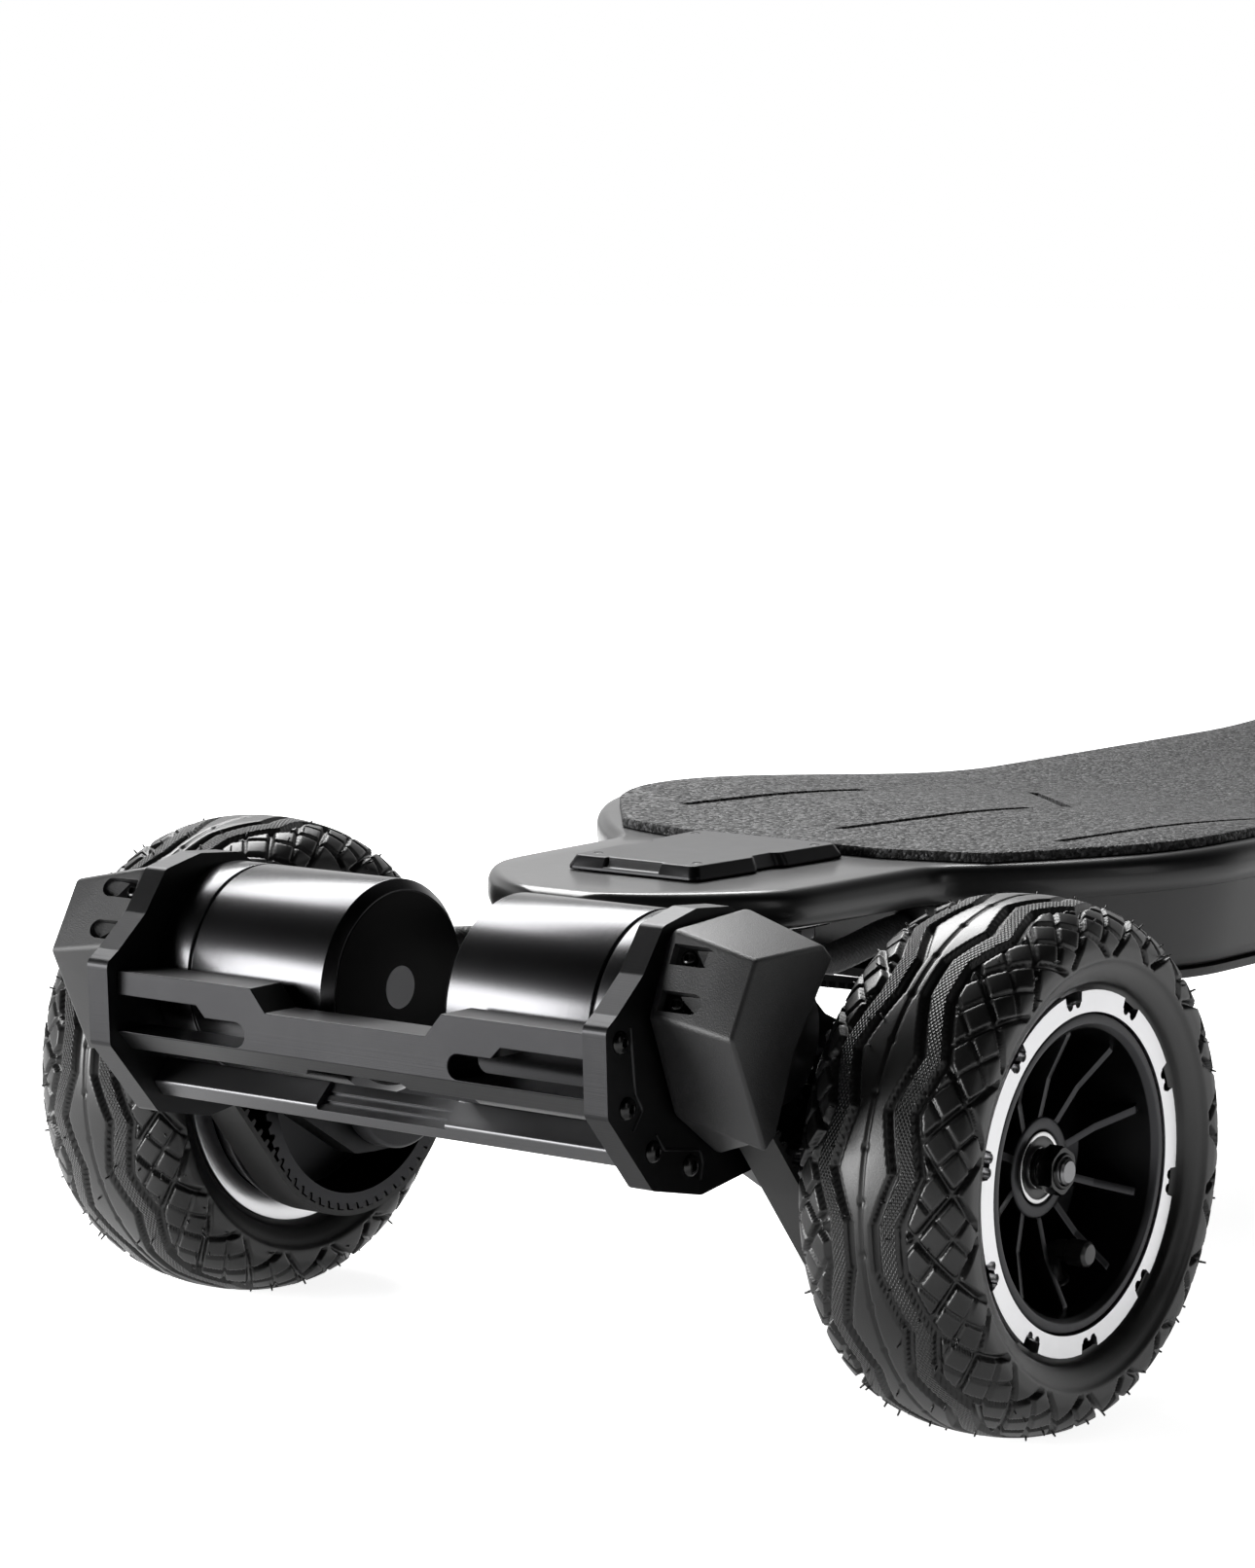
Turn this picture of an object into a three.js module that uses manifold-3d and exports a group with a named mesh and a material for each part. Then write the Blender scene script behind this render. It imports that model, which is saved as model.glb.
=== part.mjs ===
// Electric mountainboard: a rigid deck with a battery hull, two sprung trucks and four air tyres,
// driven at the rear by two belt motors.
// Millimetres. +X points to the right seen from behind, +Y forward and +Z up.
// The origin is on the floor, on the centreline, midway between the board's two ends.
import * as THREE from "three";
import { mergeVertices } from "three/addons/utils/BufferGeometryUtils.js";
import Module from "manifold-3d";

const wasm = await Module();
wasm.setup();

// Clearances
const seatGap = 0.3;
const runningGap = 0.4;
const overrun = 2;
const bite = 0.1;

// Layout of the whole board
const wheelbase = 960;
const halfTrack = 152;
const tyreRadius = 80;
const axleRadius = 4;

// Deck and battery hull, heights measured up from the axle line
const deckTop = 71.5;
const plankThickness = 13;
const deckOverhang = 28;
const tailNoseLength = 44;
const tailNoseTip = 0.5;
const tailEaseShare = 0.1;
const tailHalfWidth = 61;
const waistHalfWidth = 65;
const deckHalfWidth = 119;
const waistReach = 90;
const flareLength = 88;
const flareEase = 0.02;
const shoulderSwell = 8;
const shoulderReach = 185;
const shoulderEnd = 270;
const deckRocker = 13;
const rockerStart = 180;
const rockerEnd = 400;
const deckConcave = 2.5;
const concaveStart = 90;
const concaveEnd = 180;
const deckFlatShare = 0.5;
const stationGap = 0.5;
const deckEdgeRadius = 4;
const deckTipEdge = 0.6;
const hullDepth = 24.5;
const hullTipDepth = 1;
const hullRoot = 1;
const hullEndReach = 92;
const hullFullReach = 106;
const hullTopInset = 2;
const hullTaper = 4;
const hullBottomRadius = 6;
const bayWall = 31;
const bayEndReach = 170;
const bayRoof = 7;
const bayDividerThickness = 8;
const controllerBayLength = 120;
const packHeight = 20.5;
const packClearance = 2;
const packEndReach = 292;
const packCornerRadius = 6;
const packBevel = 1.5;
const controllerHalfWidth = 60;
const controllerEndGap = 8;
const controllerHeight = 15;
const controllerCornerRadius = 5;
const controllerBevel = 1;
const finGap = 8;
const finPitch = 20;
const finGapCount = 5;
const finDepth = 4;
const coverThickness = 3;
const coverBevel = 0.8;
const coverInset = 2;
const coverEndLip = 8;

// Grip pad
const padThickness = 3;
const padBevel = 0.8;
const padInset = 9;
const padEndReach = 94;
const padCornerReach = 104;
const padShoulderReach = 145;
const padEndHalfWidth = 40;
const padCornerHalfWidth = 74;
const padCutWidth = 4.2;
const padCutDepth = 2;
const padCutLean = 0.15;

// Top plates over the truck bolts
const topPlateStart = 11.5;
const topPlateEnd = 87.7;
const topPlateEndHalfWidth = 25.7;
const topPlateWideHalfWidth = 30.1;
const topPlateThickness = 4.6;
const topPlateBevel = 1;
const topPlateNotchDepth = 2.5;
const topPlateNotchHalf = 8;
const topPlateCornerRadius = 3;
const topPlateScoopHalf = 11;
const topPlateScoopLength = 5;
const topPlateScoopRise = 1.6;

// Trucks, in the plane of symmetry, measured from the axle line
const steerRake = THREE.MathUtils.degToRad(40);
const yokeOffset = 36;
const yokeRingRadius = 18;
const yokeRingHalfThickness = 7;
const pivotReach = 68;
const pivotRadius = 6;
const kingpinRadius = 5;
const kingpinHoleRadius = 7.8;
const kingpinBossRadius = 14;
const kingpinTop = 38;
const kingpinNutRadius = 8.5;
const kingpinNutHeight = 8;
const kingpinTip = 1.5;
const kingpinBossRoot = 10;
const bushingRadius = 13;
const bushingHeight = 12;
const cupWasherHeight = 2.5;
const cupWasherLip = 0.5;
const baseplateThickness = 8;
const baseplateHalfWidth = 28;
const baseplateStart = -6;
const baseplateEnd = 88;
const baseplateCornerRadius = 8;
const lugStart = 56;
const lugEnd = 76;
const lugHalfHeight = 11;
const lugHalfWidth = 13;

// Hanger and axle
const hangerTubeRadius = 15;
const hangerFlangeRadius = 24.5;
const hangerFlangeThickness = 7.6;
const hangerBevel = 1.2;
const armRootHalf = 30;
const armTipHalf = 16;
const armRootReach = 8;
const pivotRoot = 3;
const spindleRadius = 7;
const spindleStandoff = 2.9;
const frontTubeExtra = 10;
const axleChamfer = 0.8;

// Motor plates
const plateThickness = 8.4;
const plateBeltGap = 3.7;
const plateCornerRadius = 3;
const plateBevel = 0.9;
const plateRearReach = 130.2;
const plateClampRadius = 26.1;
const plateWindowRadius = 1.5;

// Motors
const beltCentreDistance = 88.1;
const beltRise = THREE.MathUtils.degToRad(30.9);
const motorRadius = 33;
const motorInnerEnd = 21.5;
const motorWall = 3;
const motorGrooveFromPlate = 13;
const motorGrooveWidth = 1.2;
const motorGrooveDepth = 1;
const motorBevel = 3;
const motorRimBevel = 0.6;
const motorEndWall = 4;
const rotorRadius = 27;
const rotorSetback = 10;
const rotorPlateGap = 8.1;
const rotorStub = 3;
const motorShaftRadius = 4;
const motorShaftHole = 9;
const cableBossRadius = 8;
const cableBossLength = 3;

// Belt drive
const beltPitch = 5;
const wheelPulleyTeeth = 60;
const motorPulleyTeeth = 22;
const pitchLineInset = 0.57;
const toothDepth = 2.06;
const beltWidth = 15;
const beltBack = 1.8;
const toothTipShare = 0.22;
const pulleyStandoff = 10.1;
const wheelPulleyBore = 41.8;
const wheelPulleyWeb = 3;
const wheelPulleyHubBore = 12;
const wheelPulleyFlangeRadius = 49.1;
const wheelPulleyFlangeWidth = 2;
const wheelPulleyBackRadius = 46;
const motorPulleyFlangeRadius = 20.4;
const motorPulleyFlangeWidth = 0.8;
const motorPulleyHubRadius = 8;
const motorPulleyHubGap = 1;

// Belt covers
const beltCoverDepth = 31.4;
const beltCoverWall = 2.6;
const coverPocketDepth = 1.5;
const coverPocketStart = 2.5;
const coverPocketEnd = 21;

// Guard between the motor plates
const guardRear = 126;
const guardDepth = 14;
const guardTop = 50;
const guardNotchTop = 43;
const guardBottom = 25;
const guardChamfer = 6;
const guardBevel = 0.8;
const guardNotchHalf = 31;
const guardStepHalf = 37;
const guardSlotInner = 39.5;
const guardSlotStepStart = 55.5;
const guardSlotStepEnd = 59;
const guardSlotTop = 42.5;
const guardSlotLowTop = 39;
const guardSlotBottom = 31.5;
const guardUnderNotchHalf = 18;
const guardUnderNotchDepth = 2;

// Brace below the guard
const braceRear = 110.5;
const braceFront = 94.5;
const braceTop = 20;
const braceBottom = 8.5;
const braceCornerRadius = 1;
const bracePanelHalf = 25;
const bracePanelDepth = 1.6;
const braceGrooveDepth = 0.9;

// Wheels, with x measured outboard from the tyre's middle plane
const tyreHalfWidth = 30.5;
const tyreWidestRadius = 67;
const tyreSquareness = 2.6;
const tyreFlatHalf = 9;
const tyreShoulderAngles = [0, 28, 54];
const tyreBeadRadius = 60;
const tyreBeadDrawIn = 1.8;
const tyreBeadLift = 1;
const tyreBeadOverlap = 0.8;
const rimSeatRadius = 49.4;
const rimFlangeRadius = 54.2;
const rimHalfWidth = 20;
const rimFlangeThickness = 2.6;
const rimInboardBore = 45.6;
const rimOutboardBore = 42.8;
const rimRingSeat = 2.8;
const rimDishEdge = -2;
const rimDishRadius = 39;
const rimWebFace = -6;
const rimWebRadius = 35;
const rimWebBack = -9.2;
const rimBackRadius = 38;
const rimBackEdge = -13;
const rimBackEdgeRadius = 45;
const ringInnerRadius = 47.4;
const ringThickness = 2.9;
const hubRadius = 15.3;
const hubOuterFace = 9;
const hubInnerFace = -14;
const bearingRadius = 11;
const bearingWidth = 7;
const bearingSpacerRadius = 6.4;
const ringNotchCount = 10;
const ringNotchLength = 7.6;
const ringNotchDepth = 2.5;
const ringNotchStart = 24;
const ringNotchFloorShare = 0.8;
const ringFit = 0.2;
const ribCount = 10;
const ribThickness = 2.4;
const ribStart = 18;
const ribBite = 1.3;
const ribBack = -7;
const ribHubFace = 8.4;
const ribMiddleFace = 11.5;
const ribMiddleRadius = 27;
const ribTipFace = 19.6;
const ribTipRadius = 43.5;
const ribBackRadius = 41;
const valveRadius = 3.2;
const valveCapRadius = 4;
const valveHole = 4.6;
const valveAngle = THREE.MathUtils.degToRad(-67);
const valveX = 4;
const valveBendRadius = 29;
const valveBend = 4;
const valveTip = 19.5;
const valveCapLength = 7;
const nutAcrossFlats = 13;
const nutHeight = 6;
const nutChamfer = 1;
const spacerHeight = 2.4;
const spacerRadius = 6.2;
const axleTip = 19;

// Motor cables, from the motors to the hull
const cableRadius = 5;
const cableHullSpread = 48;
const cablePlateGap = 25.6;
const cableHeight = 49;
const cableSag = 3;
const cableSocketDepth = 6;
const cableEndSetback = 4;
const cableEndGap = 1;
const cableStraight = 14;

// Power button and charge port, in the hull's left side ahead of the middle
const buttonReach = 240;
const portReach = 280;
const controlDrop = 25;
const controlInset = 10.5;
const controlPocketRadius = 10;
const buttonRadius = 6.5;
const buttonTravel = 1.5;
const buttonLength = 8;
const buttonProud = 3;
const buttonChamfer = 1;
const portRadius = 6.5;
const portBodyDepth = 7;
const portSocketRadius = 4;
const portSocketDepth = 3.5;
const portPocketHalf = 13;
const portPocketRise = 11.5;
const portPocketCorner = 4;
const capRadius = 8.5;
const capThickness = 2.4;
const capHingeRise = 9;
const capTabHalf = 4;
const capTabOverlap = 3;
const capTabRise = 1;

// Facets on round pieces
const wheelFacets = 20;
const canFacets = 32;
const barrelFacets = 20;
const shaftFacets = 12;
const smallFacets = 8;

// Derived places
const floorToAxle = tyreRadius;
const overallLength = plateRearReach + wheelbase + tyreRadius;
const rearAxleY = -overallLength / 2 + plateRearReach;
const frontAxleY = rearAxleY + wheelbase;
const deckMiddleY = (rearAxleY + frontAxleY) / 2;
const plankBottom = deckTop - plankThickness;
const motorY = -beltCentreDistance * Math.cos(beltRise);
const motorZ = beltCentreDistance * Math.sin(beltRise);
const beltOuterEdge = halfTrack - rimHalfWidth - rimFlangeThickness - seatGap - pulleyStandoff;
const beltInnerEdge = beltOuterEdge - beltWidth;
const plateOuter = beltInnerEdge - plateBeltGap;
const plateInner = plateOuter - plateThickness;
const barHalfLength = plateInner - seatGap;
const spindleShoulder = plateOuter + spindleStandoff;
const coverOuter = plateOuter + seatGap + beltCoverDepth;
const wheelPitchRadius = (wheelPulleyTeeth * beltPitch) / (2 * Math.PI);
const motorPitchRadius = (motorPulleyTeeth * beltPitch) / (2 * Math.PI);
const wheelTipRadius = wheelPitchRadius - pitchLineInset;
const motorTipRadius = motorPitchRadius - pitchLineInset;

// Shape helpers
const axisX = new THREE.Vector3(1, 0, 0);
const axisY = new THREE.Vector3(0, 1, 0);
const axisZ = new THREE.Vector3(0, 0, 1);

// Drops doubled vertices and triangles without area.
function tidy(geometry) {
  const bare = new THREE.BufferGeometry();
  bare.setAttribute("position", geometry.attributes.position.clone());
  if (geometry.index) bare.setIndex(geometry.index.clone());
  const merged = mergeVertices(bare);
  const corners = [];
  const index = merged.index.array;
  for (let i = 0; i < index.length; i += 3) {
    const [a, b, c] = [index[i], index[i + 1], index[i + 2]];
    if (a !== b && b !== c && c !== a) corners.push(a, b, c);
  }
  merged.setIndex(corners);
  return merged;
}

function toSolid(geometry) {
  const bare = tidy(geometry);
  return new wasm.Manifold(
    new wasm.Mesh({
      numProp: 3,
      vertProperties: new Float32Array(bare.attributes.position.array),
      triVerts: new Uint32Array(bare.index.array),
    }),
  );
}

function toGeometry(manifold) {
  const mesh = manifold.getMesh();
  const geometry = new THREE.BufferGeometry();
  geometry.setAttribute("position", new THREE.BufferAttribute(new Float32Array(mesh.vertProperties), 3));
  geometry.setIndex(new THREE.BufferAttribute(new Uint32Array(mesh.triVerts), 1));
  return geometry;
}

function join(first, ...others) {
  return toGeometry(others.reduce((whole, part) => whole.add(toSolid(part)), toSolid(first)));
}

function cut(body, ...tools) {
  return toGeometry(tools.reduce((rest, tool) => rest.subtract(toSolid(tool)), toSolid(body)));
}

function moved(geometry, x, y, z) {
  return geometry.clone().translate(x, y, z);
}

// The same shape on the other side of the centreline.
function mirrored(geometry) {
  const other = tidy(geometry);
  other.scale(-1, 1, 1);
  const index = other.index.array;
  for (let i = 0; i < index.length; i += 3) {
    [index[i], index[i + 1]] = [index[i + 1], index[i]];
  }
  return other;
}

// An outline extruded along one axis, given as [y, z] along x, [x, z] along y and [x, y] along z.
function prism(outline, low, high, along, holes = [], bevel = 0) {
  const shape = new THREE.Shape(outline.map(([a, b]) => new THREE.Vector2(a, b)));
  for (const hole of holes) shape.holes.push(new THREE.Path(hole.map(([a, b]) => new THREE.Vector2(a, b))));
  const geometry = new THREE.ExtrudeGeometry(shape, {
    depth: high - low - 2 * bevel,
    steps: 1,
    bevelEnabled: bevel > 0,
    bevelThickness: bevel,
    bevelSize: bevel,
    bevelOffset: -bevel,
    bevelSegments: 1,
  });
  geometry.translate(0, 0, bevel);
  const turn = new THREE.Matrix4();
  if (along === "x") turn.makeBasis(axisY, axisZ, axisX).setPosition(low, 0, 0);
  if (along === "y") turn.makeBasis(axisX, axisZ, axisY.clone().negate()).setPosition(0, high, 0);
  if (along === "z") turn.setPosition(0, 0, low);
  return geometry.applyMatrix4(turn);
}

// A profile of [x, radius] points, turned about the x axis. It runs towards +x along the outside.
function turned(profile, facets) {
  const points = profile.map(([along, radius]) => new THREE.Vector2(radius, along));
  const closesOnAxis = profile[0][1] === 0 && profile.at(-1)[1] === 0;
  if (!closesOnAxis) points.push(points[0].clone());
  const turn = new THREE.Matrix4().makeBasis(axisZ, axisX, axisY);
  return new THREE.LatheGeometry(points, facets).applyMatrix4(turn);
}

function rod(radius, low, high, facets) {
  return turned([[low, 0], [low, radius], [high, radius], [high, 0]], facets);
}

function tube(radius, bore, low, high, facets) {
  return turned([[low, bore], [low, radius], [high, radius], [high, bore]], facets);
}

function circle(centreA, centreB, radius, facets) {
  return Array.from({ length: facets }, (_, i) => {
    const angle = (2 * Math.PI * i) / facets;
    return [centreA + radius * Math.cos(angle), centreB + radius * Math.sin(angle)];
  });
}

// A closed outline with an arc in place of each corner.
function rounded(corners, radius, steps = 3) {
  const points = corners.map(([a, b]) => new THREE.Vector2(a, b));
  return points.flatMap((corner, i) => {
    const back = points.at(i - 1).clone().sub(corner);
    const ahead = points[(i + 1) % points.length].clone().sub(corner);
    const room = Math.min(back.length(), ahead.length()) / 2;
    back.normalize();
    ahead.normalize();
    const half = Math.acos(THREE.MathUtils.clamp(back.dot(ahead), -1, 1)) / 2;
    const reach = Math.min(radius / Math.tan(half), room * 0.98);
    const arcRadius = reach * Math.tan(half);
    const centre = back.clone().add(ahead).normalize().multiplyScalar(arcRadius / Math.sin(half)).add(corner);
    const from = corner.clone().addScaledVector(back, reach).sub(centre);
    const to = corner.clone().addScaledVector(ahead, reach).sub(centre);
    return Array.from({ length: steps + 1 }, (_, k) => {
      const spoke = from.clone().lerp(to, k / steps).setLength(arcRadius).add(centre);
      return [spoke.x, spoke.y];
    });
  });
}

// An outline given in shares of one size.
function scaled(size, shares) {
  return shares.map(([a, b]) => [a * size, b * size]);
}

function rectangle(lowA, highA, lowB, highB) {
  return [[lowA, lowB], [highA, lowB], [highA, highB], [lowA, highB]];
}

function box(x0, x1, y0, y1, z0, z1) {
  return prism(rectangle(x0, x1, y0, y1), z0, z1, "z");
}

// A closed skin over a row of loops with equal point counts. `flat` gives a loop's points in two
// coordinates, so its ends can be filled.
function skin(loops, flat) {
  const count = loops[0].length;
  const index = [];
  for (let k = 0; k + 1 < loops.length; k++) {
    for (let i = 0; i < count; i++) {
      const j = (i + 1) % count;
      const [a, b, c, d] = [k * count + i, k * count + j, (k + 1) * count + i, (k + 1) * count + j];
      index.push(a, b, d, a, d, c);
    }
  }
  const corners = (loop) => flat(loop).map(([a, b]) => new THREE.Vector2(a, b));
  const fill = (loop) => THREE.ShapeUtils.triangulateShape(corners(loop), []);
  const last = (loops.length - 1) * count;
  for (const [a, b, c] of fill(loops[0])) index.push(a, b, c);
  for (const [a, b, c] of fill(loops.at(-1))) index.push(last + a, last + c, last + b);
  const geometry = new THREE.BufferGeometry();
  geometry.setAttribute("position", new THREE.Float32BufferAttribute(loops.flat(2), 3));
  geometry.setIndex(index);
  return geometry;
}

// Loops in planes across y, in order of rising y, each clockwise with x to the right and z up.
function skinAlongY(loops) {
  return skin(loops, (loop) => loop.map(([x, , z]) => [x, z]));
}

// Loops in planes across x, in order of falling x, each clockwise with y to the right and z up.
function skinAlongX(loops) {
  return skin(loops, (loop) => loop.map(([, y, z]) => [y, z]));
}

// A round cord along a curve.
function cord(curve, radius, steps, facets) {
  const { normals, binormals } = curve.computeFrenetFrames(steps, false);
  const section = circle(0, 0, radius, facets);
  const rings = Array.from({ length: steps + 1 }, (_, k) =>
    section.map(([a, b]) => {
      const point = curve.getPointAt(k / steps);
      return point.addScaledVector(normals[k], a).addScaledVector(binormals[k], b).toArray();
    }),
  );
  return skin(rings, () => section.map(([a, b]) => [a, -b]));
}

function smoothStep(value, from, to) {
  return THREE.MathUtils.smoothstep(value, from, to);
}

// Deck form. `place` is measured along the board from its middle, `reach` from the nearer axle.
const reachAt = (place) => wheelbase / 2 - Math.abs(place);

function deckHalfAt(reach) {
  const fromEnd = reach + deckOverhang;
  const toWaist = (Math.min(reach, waistReach) + deckOverhang) / (waistReach + deckOverhang);
  const straight = THREE.MathUtils.lerp(tailHalfWidth, waistHalfWidth, toWaist);
  const along = (reach - waistReach) / flareLength;
  const eased = Math.min(along / 2 + Math.hypot(along / 2, flareEase), 1);
  const flare = (deckHalfWidth - waistHalfWidth) * (1 - (1 - eased) ** 2);
  const rise = smoothStep(reach, waistReach, shoulderReach);
  const swell = shoulderSwell * rise * (1 - smoothStep(reach, shoulderReach, shoulderEnd));
  const rounding = Math.sqrt((fromEnd + tailNoseTip) / (tailNoseLength + tailNoseTip));
  const noseShare = Math.min((rounding + 1 - Math.hypot(rounding - 1, tailEaseShare)) / 2, 1);
  return straight * noseShare + flare + swell;
}

const dipAt = (reach) => deckRocker * smoothStep(reach, rockerStart, rockerEnd);
const concaveAt = (reach) => deckConcave * smoothStep(reach, concaveStart, concaveEnd);

// Height of the deck's top face at a place and a distance from the centreline.
function topAt(place, x) {
  const reach = reachAt(place);
  const flatHalf = deckHalfAt(reach) * deckFlatShare;
  const share = (Math.abs(x) - flatHalf) / (deckHalfAt(reach) - deckEdgeRadius - flatHalf);
  return deckTop - dipAt(reach) + concaveAt(reach) * THREE.MathUtils.clamp(share, 0, 1);
}

// Stations from one end of the board to the other, none nearer to an axle than the first reach.
function stations(firstReach) {
  const between = (from, length, ...shares) => shares.map((share) => from + length * share);
  const reaches = [
    ...between(-deckOverhang, tailNoseLength, 0.02, 0.07, 0.16, 0.3, 0.5, 0.72, 0.9, 1, 1.2, 1.6),
    ...between(waistReach, flareLength, 0, 0.1, 0.34, 0.5, 0.7, 1),
    ...between(rockerStart, rockerEnd - rockerStart, 0.15, 0.35, 0.6, 0.8, 1),
    hullFullReach,
  ].toSorted((a, b) => a - b);
  const kept = [firstReach];
  for (const reach of reaches) {
    if (reach > kept.at(-1) + stationGap && reach < wheelbase / 2) kept.push(reach);
  }
  const places = kept.map((reach) => reach - wheelbase / 2);
  return [...places, ...places.toReversed().map((place) => -place)];
}

const mirrorLoop = (right) => [...right, ...right.toReversed().map(([x, y, z]) => [-x, y, z])];

function plank() {
  const loops = stations(-deckOverhang).map((place) => {
    const reach = reachAt(place);
    const half = deckHalfAt(reach);
    const missing = Math.max(deckEdgeRadius - (reach + deckOverhang), 0);
    const inset = deckEdgeRadius - Math.sqrt(deckEdgeRadius ** 2 - missing ** 2);
    const radius = Math.max(deckEdgeRadius - inset, deckTipEdge);
    const bend = radius * (1 - Math.SQRT1_2);
    const top = deckTop - dipAt(reach) - inset;
    const bottom = plankBottom - dipAt(reach) + inset;
    const lift = concaveAt(reach);
    return mirrorLoop([
      [half * deckFlatShare, place, top],
      [half - radius, place, top + lift],
      [half - bend, place, top + lift - bend],
      [half, place, top + lift - radius],
      [half, place, bottom + lift + radius],
      [half - bend, place, bottom + lift + bend],
      [half - radius, place, bottom + lift],
      [half * deckFlatShare, place, bottom],
    ]);
  });
  return skinAlongY(loops);
}

function hull() {
  const loops = stations(hullEndReach).map((place) => {
    const reach = reachAt(place);
    const share = THREE.MathUtils.clamp((reach - hullEndReach) / (hullFullReach - hullEndReach), 0, 1);
    const depth = THREE.MathUtils.lerp(hullTipDepth, hullDepth, share);
    const radius = Math.min(hullBottomRadius, depth * 0.4);
    const bend = radius * (1 - Math.SQRT1_2);
    const topHalf = deckHalfAt(reach) - hullTopInset;
    const bottomHalf = topHalf - hullTaper * share;
    const level = plankBottom - dipAt(reach);
    return mirrorLoop([
      [topHalf, place, level + concaveAt(reach) + deckEdgeRadius + hullRoot],
      [bottomHalf, place, level - depth + radius],
      [bottomHalf - bend, place, level - depth + bend],
      [bottomHalf - radius, place, level - depth],
    ]);
  });
  return skinAlongY(loops);
}

const bayHalfWidth = deckHalfWidth - bayWall;
const bayStart = bayEndReach - wheelbase / 2;
const bayCeiling = deckTop - deckRocker - bayRoof;
const dividerStart = bayStart + controllerBayLength;
const dividerEnd = dividerStart + bayDividerThickness;
const buttonPlace = wheelbase / 2 - buttonReach;
const portPlace = wheelbase / 2 - portReach;
const controlHeightAt = (place) => deckTop - dipAt(reachAt(place)) - controlDrop;
const controlFloorAt = (place) => controlInset - deckHalfAt(reachAt(place));

function deck() {
  const bayFloor = plankBottom - hullDepth - deckRocker - 2 * overrun;
  const buttonFloor = controlFloorAt(buttonPlace);
  const buttonHeight = controlHeightAt(buttonPlace);
  const buttonReachIn = buttonLength - buttonProud + buttonTravel + seatGap;
  const portFloor = controlFloorAt(portPlace);
  const portHeight = controlHeightAt(portPlace);
  const outside = -deckHalfWidth - shoulderSwell - overrun;
  const socketStart = hullEndReach - wheelbase / 2;
  const socketEnd = socketStart + cableEndSetback + cableEndGap + cableSocketDepth;
  const sockets = [-1, 1].map((side) => {
    const outline = circle(side * cableHullSpread, cableHeight, cableRadius + seatGap, smallFacets);
    return prism(outline, socketStart, socketEnd, "y");
  });
  const portPocket = rounded(
    rectangle(
      portPlace - portPocketHalf,
      portPlace + portPocketHalf,
      portHeight - controlPocketRadius,
      portHeight + portPocketRise,
    ),
    portPocketCorner,
    2,
  );
  const bore = (radius, low, high, place, height) =>
    moved(rod(radius, low, high, shaftFacets), 0, place, height);
  return cut(
    join(plank(), hull()),
    box(-bayHalfWidth, bayHalfWidth, bayStart, dividerStart, bayFloor, bayCeiling),
    box(-bayHalfWidth, bayHalfWidth, dividerEnd, -bayStart, bayFloor, bayCeiling),
    ...sockets,
    bore(controlPocketRadius, outside, buttonFloor, buttonPlace, buttonHeight),
    bore(buttonRadius + seatGap, outside, buttonFloor + buttonReachIn, buttonPlace, buttonHeight),
    prism(portPocket, outside, portFloor, "x"),
    bore(portRadius + seatGap, outside, portFloor + portBodyDepth + seatGap, portPlace, portHeight),
  );
}

// Half width of the pad: a straight end, slanted corners, then a line that follows the deck's edge.
function padHalfAt(reach) {
  const shoulderHalf = deckHalfAt(padShoulderReach) - padInset;
  if (reach >= padShoulderReach) return deckHalfAt(reach) - padInset;
  if (reach <= padCornerReach) {
    const share = Math.max((reach - padEndReach) / (padCornerReach - padEndReach), 0);
    return THREE.MathUtils.lerp(padEndHalfWidth, padCornerHalfWidth, share);
  }
  const share = (reach - padCornerReach) / (padShoulderReach - padCornerReach);
  return THREE.MathUtils.lerp(padCornerHalfWidth, shoulderHalf, share);
}

// A groove in the pad's top face, along a straight line seen from above.
function padGroove([fromPlace, fromX], [toPlace, toX]) {
  const inner = stations(padEndReach).filter((place) => place > fromPlace + bite && place < toPlace - bite);
  const rows = [fromPlace, ...inner, toPlace].map((place) => {
    const x = THREE.MathUtils.mapLinear(place, fromPlace, toPlace, fromX, toX);
    const left = x - padCutWidth / 2;
    const right = x + padCutWidth / 2;
    const base = Math.max(topAt(place, left), topAt(place, right)) + seatGap + padThickness;
    return [
      [left, place, base + overrun],
      [right, place, base + overrun],
      [right, place, base - padCutDepth],
      [left, place, base - padCutDepth],
    ];
  });
  return skinAlongY(rows);
}

// Pad on the deck's top face, with leaning cut lines near both ends.
function gripPad() {
  const loops = stations(padEndReach).map((place) => {
    const reach = reachAt(place);
    const half = padHalfAt(reach);
    const crease = Math.min(deckHalfAt(reach) * deckFlatShare, half - 2 * padBevel);
    const bottom = (x) => topAt(place, x) + seatGap;
    return mirrorLoop([
      [crease, place, bottom(crease) + padThickness],
      [half - padBevel, place, bottom(half - padBevel) + padThickness],
      [half, place, bottom(half) + padThickness - padBevel],
      [half, place, bottom(half)],
      [crease, place, bottom(crease)],
    ]);
  });
  const leaning = (from, to, fromX) => [from, fromX, to, fromX + (to - from) * padCutLean];
  const [line, side, start] = [2 * padEndHalfWidth, padCornerHalfWidth + padInset / 2, padShoulderReach];
  const lines = [
    leaning(start, start + line * 1.15, -side),
    leaning(start - padInset * 2, start + line, 0),
    leaning(start - padInset / 2, start + line * 1.25, side),
    [start + line * 1.2, padEndHalfWidth / 2, start + line * 2.1, -padEndHalfWidth],
  ];
  const end = wheelbase / 2;
  const cuts = lines.flatMap(([fromReach, fromX, toReach, toX]) => [
    padGroove([fromReach - end, fromX], [toReach - end, toX]),
    padGroove([end - toReach, -toX], [end - fromReach, -fromX]),
  ]);
  return cut(skinAlongY(loops), ...cuts);
}

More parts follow.
